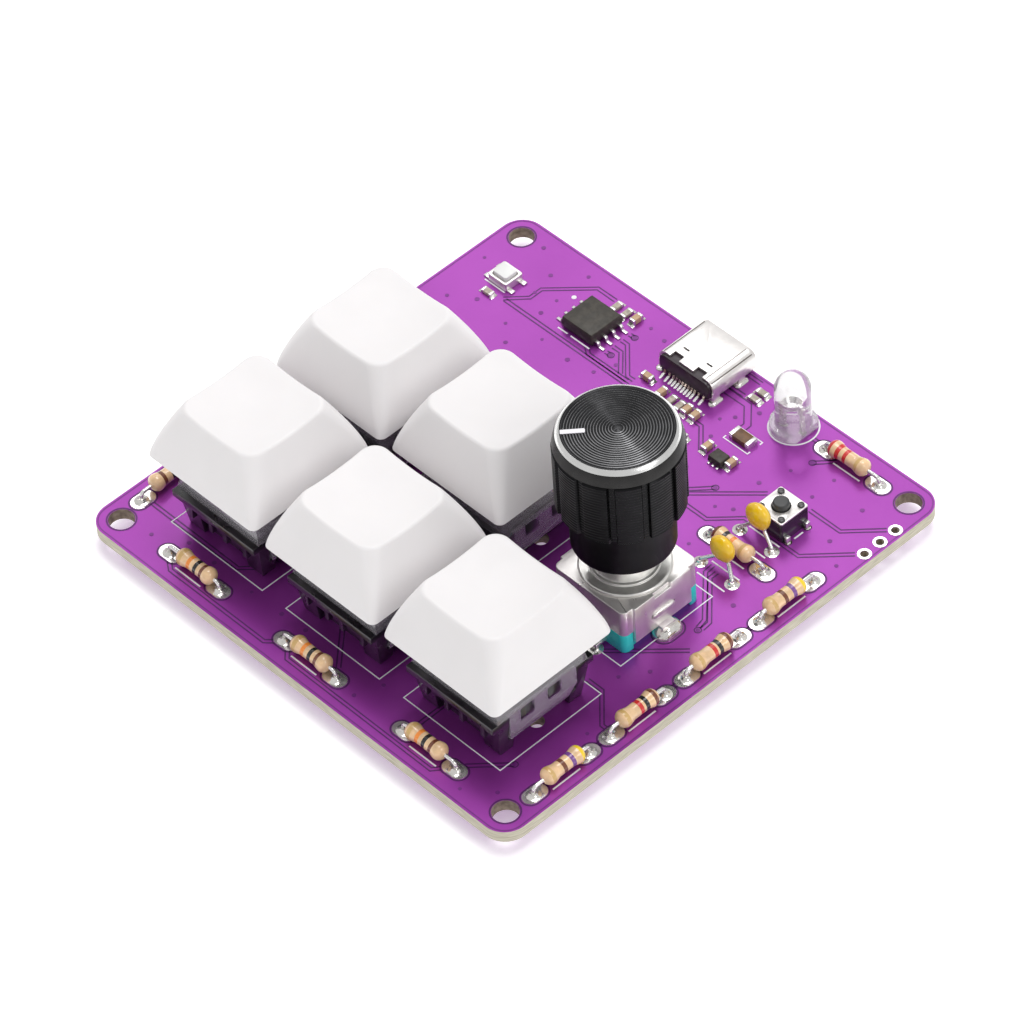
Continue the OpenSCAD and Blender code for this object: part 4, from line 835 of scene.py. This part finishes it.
# Lamp
lamp = {
    "radius": 2.2, "height": 8.6, "flangeRadius": 2.9, "flangeHeight": 1.0, "straightFrom": 2.2, "pitch": 2.54,
    # the reflector's bowl as a turned profile, then flat pieces: left, right, half depth, bottom and top
    "bowl": [(0, 3.5), (0.75, 3.5), (1.05, 4.3), (0.95, 4.3), (0.55, 3.75), (0, 3.72)], "bowlX": -0.15,
    "flats": [(-1.57, -0.1, 0.22, 2.95, 3.5), (-1.07, -0.37, 0.2, 3.3, 3.6), (0.77, 1.62, 0.2, 2.95, 3.9),
              (0.52, 1.37, 0.18, 3.9, 4.3), (-0.15, 0.15, 0.15, 3.72, 3.86)],
}


def makeLamp():
    k = lamp
    r, wide, thick, dome = k["radius"], k["flangeRadius"], k["flangeHeight"], k["height"] - k["radius"]
    low = k["straightFrom"]
    profile = [(0, 0.02), (wide - 0.08, 0.02), (wide, 0.1), (wide, thick - 0.12), (wide - 0.12, thick),
               (r + 0.06, thick), (r, thick + 0.08)]
    profile += [(r, low + n * (dome - low) / 6) for n in range(7)]
    profile += [(r * cos(radians(a)), dome + r * sin(radians(a))) for a in range(6, 90, 6)]
    points, faces, _ = spinProfile(profile + [(0, k["height"])], 72)
    # the flange is cut flat on one side
    points = [(min(x, r), y, z) if z < thick + 0.05 else (x, y, z) for x, y, z in points]
    where = (*layout["lamp"], 0)
    addPiece("powerLamp", shifted((points, faces), where), ["lamp"], nodes=["power_led"])
    dressNode("led_leads", "tinned", 0.05)
    parts = [shifted(spinProfile(k["bowl"], 28), (k["bowlX"], 0, 0))] + [block(*flat) for flat in k["flats"]]
    addPiece("lampFrame", shifted(joinParts(parts), where), ["tinned"], slot="lamp_clear", angle=30)


# Wire parts: resistors, yellow capacitors and their wires
resistor = {
    "length": 6.0, "radius": 1.1, "axis": 1.25, "wire": 0.25, "elbow": 0.6, "tail": 1.5,
    "across": [
        [(-2.0, "gilt"), (-0.7, "orange"), (0.4, "black"), (1.45, "brown")],
        [(-2.0, "gilt"), (-0.75, "orange"), (0.35, "black"), (1.4, "brown")],
        [(-2.0, "gilt"), (-0.85, "orange"), (0.2, "black"), (1.3, "brown")],
        [(-2.45, "red"), (-1.3, "red"), (-0.2, "red"), (1.7, "gilt")],
        [(-2.45, "brown"), (-1.15, "black"), (0.0, "orange"), (1.7, "gilt")]],
    "along": [
        [(-2.1, "gilt"), (-0.25, "brown"), (1.05, "violet"), (2.4, "yellow")],
        [(-2.1, "gilt"), (0.1, "red"), (0.95, "black"), (2.2, "brown")],
        [(-2.1, "gilt"), (0.1, "red"), (0.9, "black"), (2.25, "brown")],
        [(-2.1, "gilt"), (-0.35, "brown"), (1.0, "violet"), (2.4, "yellow")],
        [(-1.3, "brown"), (0.0, "black"), (1.2, "orange"), (2.3, "gilt")]],
    "shiftAcross": [0.5, 0.3, -0.4, -0.5, -0.5], "shiftAlong": [0.3, 0.0, -0.2, -0.4, 0.3],
    "bandWidth": 0.52, "slices": 48, "waist": 0.8, "waistHalf": 0.3, "endFrom": 0.72, "endReach": 0.29,
    "uneven": 0.02,
}


def resistorShape(bands):
    # a waisted body lying along X, and the finish of each of its faces
    k = resistor
    half = k["length"] / 2
    marks = sorted((c - k["bandWidth"] / 2, c + k["bandWidth"] / 2, name) for c, name in bands)
    cuts = {round(-half + n * k["length"] / k["slices"], 4) for n in range(k["slices"] + 1)}
    cuts = sorted(cuts | {round(end, 4) for mark in marks for end in mark[:2]})

    def waist(x):
        u = abs(x) / half
        if u > k["endFrom"]:
            return max(0.3, sqrt(max(0.0, 1 - ((u - k["endFrom"]) / k["endReach"]) ** 2)))
        rise = max(0, u - k["waistHalf"]) / (k["endFrom"] - k["waistHalf"])
        return k["waist"] + (1 - k["waist"]) * sin(pi / 2 * rise) ** 2

    profile = [(0, cuts[0])] + [(k["radius"] * waist(x), x) for x in cuts] + [(0, cuts[-1])]
    points, faces, segments = spinProfile(profile, 30)
    middles = [0] + [(a + b) / 2 for a, b in zip(cuts, cuts[1:])] + [0]
    looks = []
    for s in segments:
        hits = [name for low, high, name in marks if 0 < s < len(cuts) and low < middles[s] < high]
        looks.append((hits + ["lacquer"])[0])
    return [(z, x, y) for x, y, z in points], faces, looks


def makeResistors():
    k = resistor
    parts, looks, wires, names = [], [], [], ["lacquer"] + sorted(bandColours)
    rows = [(*p, 0, b, m) for p, b, m in zip(layout["resistorsAcross"], k["across"], k["shiftAcross"])]
    rows += [(*p, 90, b, m) for p, b, m in zip(layout["resistorsAlong"], k["along"], k["shiftAlong"])]
    for n, (x, y, turn, bands, shift) in enumerate(rows):
        points, faces, own = resistorShape(bands)
        looks += [names.index(look) for look in own]
        uneven = []
        for px, py, pz in points:
            wide, tall = (1 + k["uneven"] * noise.noise((px * 0.9, n, row)) for row in (0, 5))
            uneven.append((px + shift, py * wide, pz * tall))
        parts.append(shifted((uneven, faces), (x, y, k["axis"]), radians(turn)))
        for side in (-1, 1):
            far, near = layout["resistorPitch"] / 2 * side, (k["length"] / 2 - 0.1) * side + shift
            line = [(near, 0, k["axis"]), (far, 0, k["axis"]), (far, 0, -layout["boardThick"] - k["tail"])]
            wires.append(shifted((line, ()), (x, y, 0), radians(turn))[0])
    addPiece("resistorBodies", joinParts(parts), names, nodes=["resistor_bodies"], faceLooks=looks)
    return wires


blob = {"places": [(23.45, 15.75, 0.5, 3.8), (23.7, 9.1, 1.1, 3.3)], "size": (3.5, 2.2, 3.4), "pitch": 5.08,
        "spread": 0.9, "sink": 0.25, "rows": 26, "sides": 44, "uneven": 0.035, "lumps": 1.3, "drip": 0.30,
        "dripArea": 0.22, "leadUpright": 0.45, "leadBend": 0.62, "leadBendShare": 0.05}


def makeBlobs():
    # balls with a drip of resin down each lead, on leads that lean from the board to the body
    k = blob
    width, deep, tall = (size / 2 for size in k["size"])
    angles = [pi * i / k["rows"] for i in range(1, k["rows"])]
    profile = [(0, -1)] + [(sin(a), -cos(a)) for a in angles] + [(0, 1)]
    points, faces, _ = spinProfile(profile, k["sides"])
    parts, wires = [], []
    for n, (x, y, lean, middle) in enumerate(k["places"]):
        shaped = []
        for px, py, pz in points:
            swell = 1 + k["uneven"] * noise.noise((px * k["lumps"] + n * 7, py * k["lumps"], pz * k["lumps"]))
            gaps = [(px * width - side * k["spread"]) ** 2 + (py * deep) ** 2 for side in (-1, 1)]
            drip = k["drip"] * sum(exp(-gap / k["dripArea"]) for gap in gaps) if pz < 0 else 0
            shaped.append((px * width * swell, py * deep * swell, pz * tall * swell - drip))
        parts.append(shifted((shaped, faces), (x, y + lean, middle)))
        top = middle - tall * sqrt(1 - (k["spread"] / width) ** 2) + k["sink"]
        for side in (-1, 1):
            foot = Vector((x + side * k["pitch"] / 2, y))
            head = Vector((x + side * k["spread"], y + lean))
            upright, bend, share = k["leadUpright"], k["leadBend"], k["leadBendShare"]
            wires.append([(*foot, -layout["boardThick"] - resistor["tail"]), (*foot, upright),
                          (*foot.lerp(head, share), bend), (*foot.lerp(head, 1 - share), top - bend),
                          (*head, top - upright), (*head, top)])
    addPiece("blobCapacitors", joinParts(parts), ["amber"], nodes=["blob_capacitors"], angle=60)
    return wires


def makeWires(wires):
    growPiece("wireLeads", *chain(wires), wireTree(),
              {"Radius": resistor["wire"] * mm, "Bend": resistor["elbow"] * mm}, "tinned", nodes=["wire_leads"])


# Solder
solder = {
    "holeRadius": 0.35, "sides": 26, "uneven": 0.10,
    # radius of the lead and of the pad, and how far the solder rises over and under the board
    "joints": {"wire": (0.28, 0.95, 0.5, 0.9), "blob": (0.28, 0.9, 0.45, 0.9), "lamp": (0.35, 0.85, 0, 0.9),
               "reset": (0.35, 0.95, 0, 0.9), "key": (0.5, 1.2, 0, 1.0), "encoder": (0.4, 0.95, 0.3, 1.0)},
    "keyPins": [(-3.81, 2.54), (2.54, 5.08)],
    "encoderPins": [(-2.5, -7.5), (0, -7.5), (2.5, -7.5), (-2.5, 7), (2.5, 7)],
    "reset": (23.7, 19.7), "resetPins": [(-2.55, -1.6), (2.55, -1.6), (-2.55, 1.6), (2.55, 1.6)],
    "wirePad": (3.3, 2.1), "wirePadIn": 0.2, "wirePadHigh": 0.06,
    # mounds on slots: length, width and rise
    "lugX": 6.55, "lugIn": 0.15, "lugMound": (3.9, 2.8, 1.05), "legMound": (2.1, 1.1, 0.33), "underRise": 0.33,
    "usbLegs": [(-4.17, 28.35), (4.47, 28.35), (-4.17, 32.55), (4.47, 32.55)],
    "moundLevels": [(1, 0), (1, 0.14), (0.93, 0.42), (0.84, 0.66), (0.7, 0.84), (0.5, 0.96)], "moundUneven": 0.12,
}


def moundShape(x, y, lead, pad, rise, drop):
    # solder on both faces of the board and in the hole, uneven from joint to joint
    t, hole, skip = layout["boardThick"], solder["holeRadius"], lead * 0.8
    profile = [(0, -t - drop * 0.7), (skip, -t - drop * 0.7), (lead + 0.08, -t - drop * 0.9),
               (lead + 0.2, -t - drop * 0.45), (pad * 0.72, -t - 0.16), (pad, -t - 0.06), (pad, -t),
               (hole, -t + 0.02), (hole, -0.02)]
    if rise > 0:
        profile += [(pad, 0), (pad, 0.05), (pad * 0.72, 0.12), (lead + 0.22, 0.45 * rise),
                    (lead + 0.08, rise * 0.92), (skip, rise * 0.7), (0, rise * 0.7)]
    else:
        profile.append((0, -0.02))
    points, faces, _ = spinProfile(profile, solder["sides"])
    uneven = []
    for px, py, pz in points:
        outside = abs(pz + t / 2) > t / 2 + 0.04
        swell = 1 + (solder["uneven"] * noise.noise((x + px, y + py, pz)) if outside else 0)
        uneven.append((x + px, y + py, pz * swell if pz > 0 else -t + (pz + t) * swell if pz < -t else pz))
    return uneven, faces


def makeSolder():
    k = solder
    places, parts, pads = {"wire": []}, [], []
    wirePad = slab(ovalOutline(*k["wirePad"]), 0, k["wirePadHigh"])
    for centres, turn in ((layout["resistorsAcross"], 0), (layout["resistorsAlong"], pi / 2)):
        for x, y in centres:
            for side in (-1, 1):
                reach, inward = side * layout["resistorPitch"] / 2, side * k["wirePadIn"]
                px, py = x + reach * cos(turn), y + reach * sin(turn)
                places["wire"].append((px, py))
                pads.append(shifted(wirePad, (px - inward * cos(turn), py - inward * sin(turn), 0), turn))

    def around(centres, offsets):
        return [(x + dx, y + dy) for x, y in centres for dx, dy in offsets]

    def pair(pitch):
        return [(-pitch / 2, 0), (pitch / 2, 0)]

    places["blob"] = around([p[:2] for p in blob["places"]], pair(blob["pitch"]))
    places["lamp"] = around([layout["lamp"]], pair(lamp["pitch"]))
    places["reset"] = around([k["reset"]], k["resetPins"])
    places["key"] = around(layout["keys"], k["keyPins"])
    places["encoder"] = around([layout["encoder"]], k["encoderPins"])
    for kind, spots in places.items():
        parts += [moundShape(x, y, *k["joints"][kind]) for x, y in spots]
    slots = [(x, y, *k["lugMound"]) for x, y in around([layout["encoder"]], pair(2 * (k["lugX"] - k["lugIn"])))]
    slots += [(x, y, *k["legMound"]) for x, y in k["usbLegs"]]
    for x, y, length, width, top in slots:
        for z, rise in ((0, top), (-layout["boardThick"], -k["underRise"])):
            rings = []
            for s, h in k["moundLevels"]:
                ring = [(px * s, py * s) for px, py in ovalOutline(length, width)]
                rings.append([(px, py, z + h * rise * (1 + k["moundUneven"] * noise.noise((x + px, y + py, h))))
                              for px, py in ring])
            parts.append(shifted(loftRings(rings, (0, 0, z), (0, 0, z + rise)), (x, y, 0), pi / 2))
    addPiece("solderJoints", joinParts(parts + pads), ["solder"], nodes=["solder_joints"], angle=50)


# Parts on the face of the board
surface = {
    # places with the turn of each part in degrees
    "caps": [(-3.9, 25.5, 0), (5.7, 21.5, 0), (-0.9, 24.8, 90), (3.25, 24.85, 90), (4.6, 24.85, 90),
             (-11.7, 31.3, 90), (9.15, 22.3, 90), (13.05, 22.3, 90)],
    "resistors": [(-28, 22.6, 0), (0.7, 24.8, 90), (2.05, 24.8, 90), (-15, 31.3, 90), (-13.3, 31.3, 90),
                  (7.65, 32.9, 0), (7.65, 31.6, 0)],
    "halfLength": 0.8, "padReach": 0.32, "padWidth": 1.0, "capHigh": 0.55, "resistorHigh": 0.36,
    "fuseX": 11.2, "fuseBody": 0.99,
    "dressed": [
        ("usb_shell", "steel", 0.08), ("usb_tongue", "socketBlack", 0.06), ("reset_body", "housing", 0.05),
        ("reset_plate", "steel", 0.04), ("reset_button", "button", 0.1, 3), ("boot_body", "steel", 0.06),
        ("boot_button", "bootWhite", 0.12, 3), ("button_pins", "tinned", 0.05), ("flash_chip", "chip", 0.05),
        ("chip_pins", "tinned", 0.04), ("controller_chip", "chip", 0.05), ("crystal", "crystal", 0.08),
        ("regulator_chip", "chip", 0.05), ("fuse", "fuse", 0.06), ("chip_capacitors", "ceramic", 0.05),
        ("chip_resistors", "chipBody", 0.04), ("chip_terminals", "tinned", 0.06)],
}


def makeChipPads():
    # solder that runs from each pad up the end of its part
    k = surface
    near, far, w = k["halfLength"] - 0.02, k["halfLength"] + k["padReach"], k["padWidth"] / 2

    def ring(inner, innerHalf, innerHigh, outer, outerHalf, outerHigh):
        return [(inner, -innerHalf, innerHigh), (outer, -outerHalf, outerHigh), (outer, outerHalf, outerHigh),
                (inner, innerHalf, innerHigh)]

    parts = []
    for places, high in ((k["caps"], k["capHigh"]), (k["resistors"], k["resistorHigh"])):
        rings = [ring(near, w, 0, far, w, 0), ring(near, w, 0.05, far, w, 0.05),
                 ring(near, w * 0.86, 0.14, far - 0.14, w * 0.8, 0.1),
                 ring(near, w * 0.74, high, near + 0.05, w * 0.7, high - 0.06)]
        pad = loftRings(rings, (near + 0.1, 0, 0), (near + 0.02, 0, high - 0.02))
        parts += [shifted(pad, (x, y, 0), radians(turn) + side) for x, y, turn in places for side in (0, pi)]
    addPiece("chipPads", joinParts(parts), ["solder"], slot="solder", angle=50)


socket = {
    "middle": 0.15, "rear": 27.9, "front": 35.0, "top": 3.26, "halfWidth": 4.47, "corner": 1.28,
    # seams: side, angles from and to, how far they stand proud, finish; the dark strips are painted shade
    "seams": [(1, 52, 87, 0.06, "steel"), (1, 46, 52, 0.03, "seamPaintedShade"), (1, 87, 93, 0.03, "seamPaintedShade"),
              (-1, 64, 70, 0.03, "seamPaintedShade")],
    "feet": [-3.2, -2.4, -1.75, -1.25, -0.75, -0.25, 0.25, 0.75, 1.25, 1.75, 2.4, 3.2],
    "footWidth": 0.31, "footThick": 0.11, "footPath": [(-0.1, 1.05), (0.2, 0.95), (0.52, 0.2), (0.66, 0.14)],
    "padBack": 0.5, "padReach": 0.86, "padHeight": 0.17, "padSlope": 1.7, "padMore": 0.04,
    "padLevels": ((1, 0), (1, 0.6), (0.9, 1)),
}


def makeSocket():
    # contact feet on their pads, and the folded seams along the top corners of the shell, drawn with dark strips of
    # painted shade
    k = socket
    # the feet's darker tin carries painted shade
    feet = [[(k["middle"] + x, k["rear"] - back, z) for back, z in k["footPath"]] for x in k["feet"]]
    sizes = {"Width": k["footWidth"] * mm, "Thickness": k["footThick"] * mm}
    growPiece("contactFeet", *chain(feet), ribbonTree("contactStrips", False), sizes, "contactTin",
              nodes=["usb_contacts"])
    rings = [[(u * s, v * s, h * k["padHeight"] * (1 + k["padSlope"] * u / k["padReach"]))
              for u, v in ovalOutline(k["padReach"], k["footWidth"] + k["padMore"], 20)] for s, h in k["padLevels"]]
    pad = loftRings(rings, (0, 0, 0), (0, 0, k["padHeight"]))
    back = k["rear"] - k["padBack"] - k["padReach"] / 2
    pads = [shifted(pad, (k["middle"] + x, back, 0), pi / 2) for x in k["feet"]]
    addPiece("contactPads", joinParts(pads), ["tinned"], slot="tinned_lead", angle=50)
    parts, looks, names = [], [], ["steel", "seamPaintedShade"]
    for side, low, high, proud, look in k["seams"]:
        angles = [radians(low + (high - low) * i / 8) for i in range(9)]
        section = [(k["corner"] + proud, a) for a in angles] + [(k["corner"] - 0.1, a) for a in reversed(angles)]
        middleX, middleZ = k["middle"] + side * (k["halfWidth"] - k["corner"]), k["top"] - k["corner"]
        section = [(middleX + side * r * cos(a), middleZ + r * sin(a)) for r, a in section]
        coreX, coreZ = (sum(u[axis] for u in section) / len(section) for axis in (0, 1))
        front, rear = k["front"] - 0.3, k["rear"] + 0.1
        rings = [[(x, y, z) for x, z in section[::side]] for y in (front, rear)]
        parts.append(loftRings(rings, (coreX, front, coreZ), (coreX, rear, coreZ)))
        looks += [names.index(look)] * len(parts[-1][1])
    addPiece("shellSeams", joinParts(parts), names, slot="steel_bright", faceLooks=looks, angle=20)


def makeSurfaceParts():
    makeChipPads()
    makeSocket()
    pieces = {row[0]: dressNode(*row) for row in surface["dressed"]}
    fuse = pieces["fuse"].data
    fuse.materials.append(finishes["tinned"])
    for face in fuse.polygons:
        face.material_index = int(abs(face.center.x / mm - surface["fuseX"]) > surface["fuseBody"])


# Tracks, ink and vias on the board
artwork = {
    "lift": 0.012, "thick": 0.02, "trackHalf": 0.25, "wideHalf": 0.45, "gapWidth": 0.18, "inkWidth": 0.2,
    "inkThick": 0.024, "discThick": 0.03, "viaRadius": 0.28, "ringRadius": 0.42, "ringWidth": 0.14,
    "outlineWidth": 0.2, "wireOutline": (3.62, 2.42), "wireOutlineAt": 4.05, "lugOutline": (4.2, 2.9),
    "holeOutline": 1.75, "pourHalf": 34.68, "pourCorner": 2.5, "pourWidth": 0.16, "dot": (-20, 29.1),
    "dotRadius": 0.3, "frameHalf": 7.8, "lampRing": 3.0,
    "tracks": [
        [(-16, 32.1), (-19, 32.1), (-23.8, 27.4), (-23.8, 25.5), (-26, 23.2)],
        [(-25.7, 23.2), (-5, 23.2)], [(-13, 24.4), (-12, 23.65), (-5.5, 23.65)],
        [(-10.7, 29.25), (-9.9, 29.25)], [(-10.7, 27.9), (-9.75, 27.9), (-6, 24.25), (-5, 24.25)],
        [(-10.7, 26.5), (-9.4, 26.5), (-6.9, 23.95)], [(-10.7, 25.3), (-9.9, 25.3)],
        [(3.7, 34.1), (6.3, 34.1)], [(6.2, 31.3), (3.7, 31.3)], [(16.9, 31.8), (18, 31.8)],
        [(21.5, 31.1), (19.55, 29.0)], [(33.1, 27.2), (29.4, 23.4), (24.6, 23.4)],
        [(33.1, 22.0), (28.6, 17.4), (20, 17.4), (16.9, 14.3), (13, 14.3)],
        [(19.2, 22), (12, 15.2)], [(14.2, 18.5), (11.9, 16)], [(5, 24.4), (6, 24.4), (8.75, 21.6)],
        [(22.6, 9.7), (22.7, 8.4), (27.8, 3.1), (28.1, 1.8)], [(23.7, 9.2), (23.7, 8.1), (28.5, 3.2), (28.6, 1.9)],
        [(32.4, 4.2), (32.4, 6.9)], [(32.4, -7.7), (32.4, -4.9)], [(32.4, -19.5), (32.4, -16.7)],
        [(29.9, -1.3), (26.2, -4.9), (22.9, -8)], [(24.7, -12.3), (27, -12.3), (30.7, -15.9), (31.3, -15.9)],
        [(24, -30.5), (27.8, -26.6)], [(15.8, -26), (15.8, -30)],
        [(-23, -32.6), (-21.9, -33.4), (-6, -33.4), (-5, -32.5)],
        [(-3, -32.5), (-2.1, -33.4), (21.6, -33.5), (22.3, -32.6)],
        [(-31.3, -27.85), (-16.5, -27.9), (-14.8, -26.2)], [(-0.9, -26), (3.1, -30.3)]],
    "wideTracks": [[(3.8, 30.5), (7.6, 30.5), (9.8, 28.2), (9.8, 27.4)]],
    "vias": [(-28.7, 32.5), (-21.2, 32.7), (-32.7, 26.5), (-21.1, 27.3), (-28.2, 21), (-22.8, 20.5), (-31.3, 19),
             (-20.5, 18.3), (-17.7, 21.6), (-13.1, 21.3), (-9.4, 22), (-8.3, 24.6), (-7, 31.3), (-9.6, 31.7),
             (-24.7, 29.8), (-15.9, 24.2), (-21, 24.6), (-24, 26.5), (28.95, 27.5), (23.3, 28.7), (23.3, 25.1),
             (29.6, 21.5), (18.6, 26.4), (17.3, 22.5), (18.1, 17.5), (16.25, 16.4), (32.8, 19.25), (28.6, 6.9),
             (23.6, 12.0), (9.5, 30.5), (7.9, 28.1), (6.8, 26.7), (8, 24), (9.4, 18.6), (18.2, 10.2), (30.4, -17.9),
             (28.9, -6.6), (26.9, -9.6), (29.4, -30.7), (26, -33.2), (-23.5, -29.1), (-19.1, -29.2), (-27.7, -31.2),
             (-12.6, -29.3), (-7.6, -29.2), (-3.8, -29), (7.4, -31.9), (8.7, -28.6)],
    "ringVias": [(-9.9, 29.25), (-9.9, 25.3), (19.55, 29.0), (14.2, 18.5), (28.35, 1.5), (27.8, -26.6)],
    "encoderInk": [(13.0, 6.25), (25.93, 6.25), (25.93, -8.3), (13.0, -8.3)],
    "inkLines": [
        [(-21.8, -32.78), (-17.5, -32.78)], [(-2.1, -32.78), (2.1, -32.78)], [(17.4, -32.78), (21.7, -32.78)],
        [(33.5, 13.5), (33.5, 9.1)], [(33.5, 1.6), (33.5, -2.7)], [(33.5, -10.3), (33.5, -14.5)],
        [(33.5, -22), (33.5, -26.2)], [(21.3, 30.6), (25.5, 30.6)], [(22.4, 11.7), (25.5, 11.7)],
        [(20.6, 16.9), (26.1, 16.9)], [(20.6, 14.55), (26.1, 14.55)],
        [(22, 10.1), (26.4, 10.1)], [(22, 7.7), (26.4, 7.7)],
        [(9.2, 26.9), (9.2, 27.35), (13.1, 27.35), (13.1, 26.9)],
        [(9.2, 25.3), (9.2, 24.85), (13.1, 24.85), (13.1, 25.3)],
        [(-17.8, 24.3), (-12.5, 24.3)], [(-30, 24.0), (-26.6, 24.0)], [(26.4, 19.0), (26.4, 20.4)]],
    "headers": [(33.85, 22.76), (33.85, 25.3), (33.85, 27.84)], "headerRadius": 0.85, "headerHole": 0.52,
    "headerThick": 0.06, "headerLevels": (0, -1.66),
}


def makeArtwork():
    k = artwork
    tracks, strips, discs = ribbonTree("trackEdges", True), ribbonTree("inkStrips", False), discTree()

    def growFlat(name, points, edges, tree, look, sizes):
        lifted = [(x, y, k["lift"]) for x, y, *_ in points]
        growPiece(name, lifted, edges, tree, {label: size * mm for label, size in sizes.items()}, look,
                  slot="board_purple")

    def drawLines(name, lines, tree, look, width, thick=k["thick"], half=0.0):
        points, edges = chain(lines)
        growFlat(name, points, edges, tree, look, {"Width": width, "Thickness": thick, "Track Half": half})

    def drawDiscs(name, places, look, radius):
        growFlat(name, places, [], discs, look, {"Radius": radius, "Thickness": k["discThick"]})

    def closed(line):
        return line + [line[0]]

    drawLines("boardTracks", k["tracks"], tracks, "gap", k["gapWidth"], half=k["trackHalf"])
    drawLines("powerTrack", k["wideTracks"], tracks, "gap", k["gapWidth"], half=k["wideHalf"])
    drawDiscs("boardVias", k["vias"] + k["ringVias"], "dip", k["viaRadius"])
    rings = [closed(circlePoints(k["ringRadius"], 20, p)) for p in k["ringVias"]]
    drawLines("viaRings", rings, strips, "gap", k["ringWidth"])
    outlines = []
    for places, turned in ((layout["resistorsAcross"], False), (layout["resistorsAlong"], True)):
        for x, y in places:
            for side in (-1, 1):
                oval = [(u + side * k["wireOutlineAt"], v) for u, v in ovalOutline(*k["wireOutline"], 36)]
                outlines.append(closed([(x - v, y + u) if turned else (x + u, y + v) for u, v in oval]))
    ex, ey = layout["encoder"]
    for side in (-1, 1):
        oval = [(ex + side * solder["lugX"] - v, ey + u) for u, v in ovalOutline(*k["lugOutline"], 36)]
        outlines.append(closed(oval))
    outlines += [closed(circlePoints(k["holeOutline"], 40, hole)) for hole in layout["mountHoles"]]
    drawLines("pourEdge", [closed(squareRing(k["pourHalf"], k["pourCorner"]))], strips, "dip", k["pourWidth"])
    drawLines("padOutlines", outlines, strips, "gap", k["outlineWidth"])
    h = k["frameHalf"]
    frames = [closed([(x - h, y - h), (x + h, y - h), (x + h, y + h), (x - h, y + h)]) for x, y in layout["keys"]]
    frames.append(closed(k["encoderInk"]))
    lampLine = closed(circlePoints(k["lampRing"], 64, layout["lamp"]))
    drawLines("boardInk", frames + k["inkLines"] + [lampLine], strips, "silk", k["inkWidth"], k["inkThick"])
    drawDiscs("pinDot", [k["dot"]], "silk", k["dotRadius"])
    outlines = [circlePoints(k[size], 32) for size in ("headerRadius", "headerHole")]
    parts = []
    for x, y in k["headers"]:
        for low in k["headerLevels"]:
            parts.append(shifted(flatPiece("headerRing", outlines, low, low + k["headerThick"]), (x, y, 0)))
    addPiece("headerPads", joinParts(parts), ["tinned"], slot="solder")


makeCamera()
lightStudio()
makeFloor()
print("camera and studio ready")
dressNode("circuit_board", "board", 0)
makeArtwork()
print("board dressed")
makeSwitches()
print("switches and keycaps made")
makeEncoder()
makeKnob()
makeGrip()
print("encoder and knob made")
makeLamp()
makeWires(makeResistors() + makeBlobs())
makeSolder()
makeSurfaceParts()
print("small parts made")
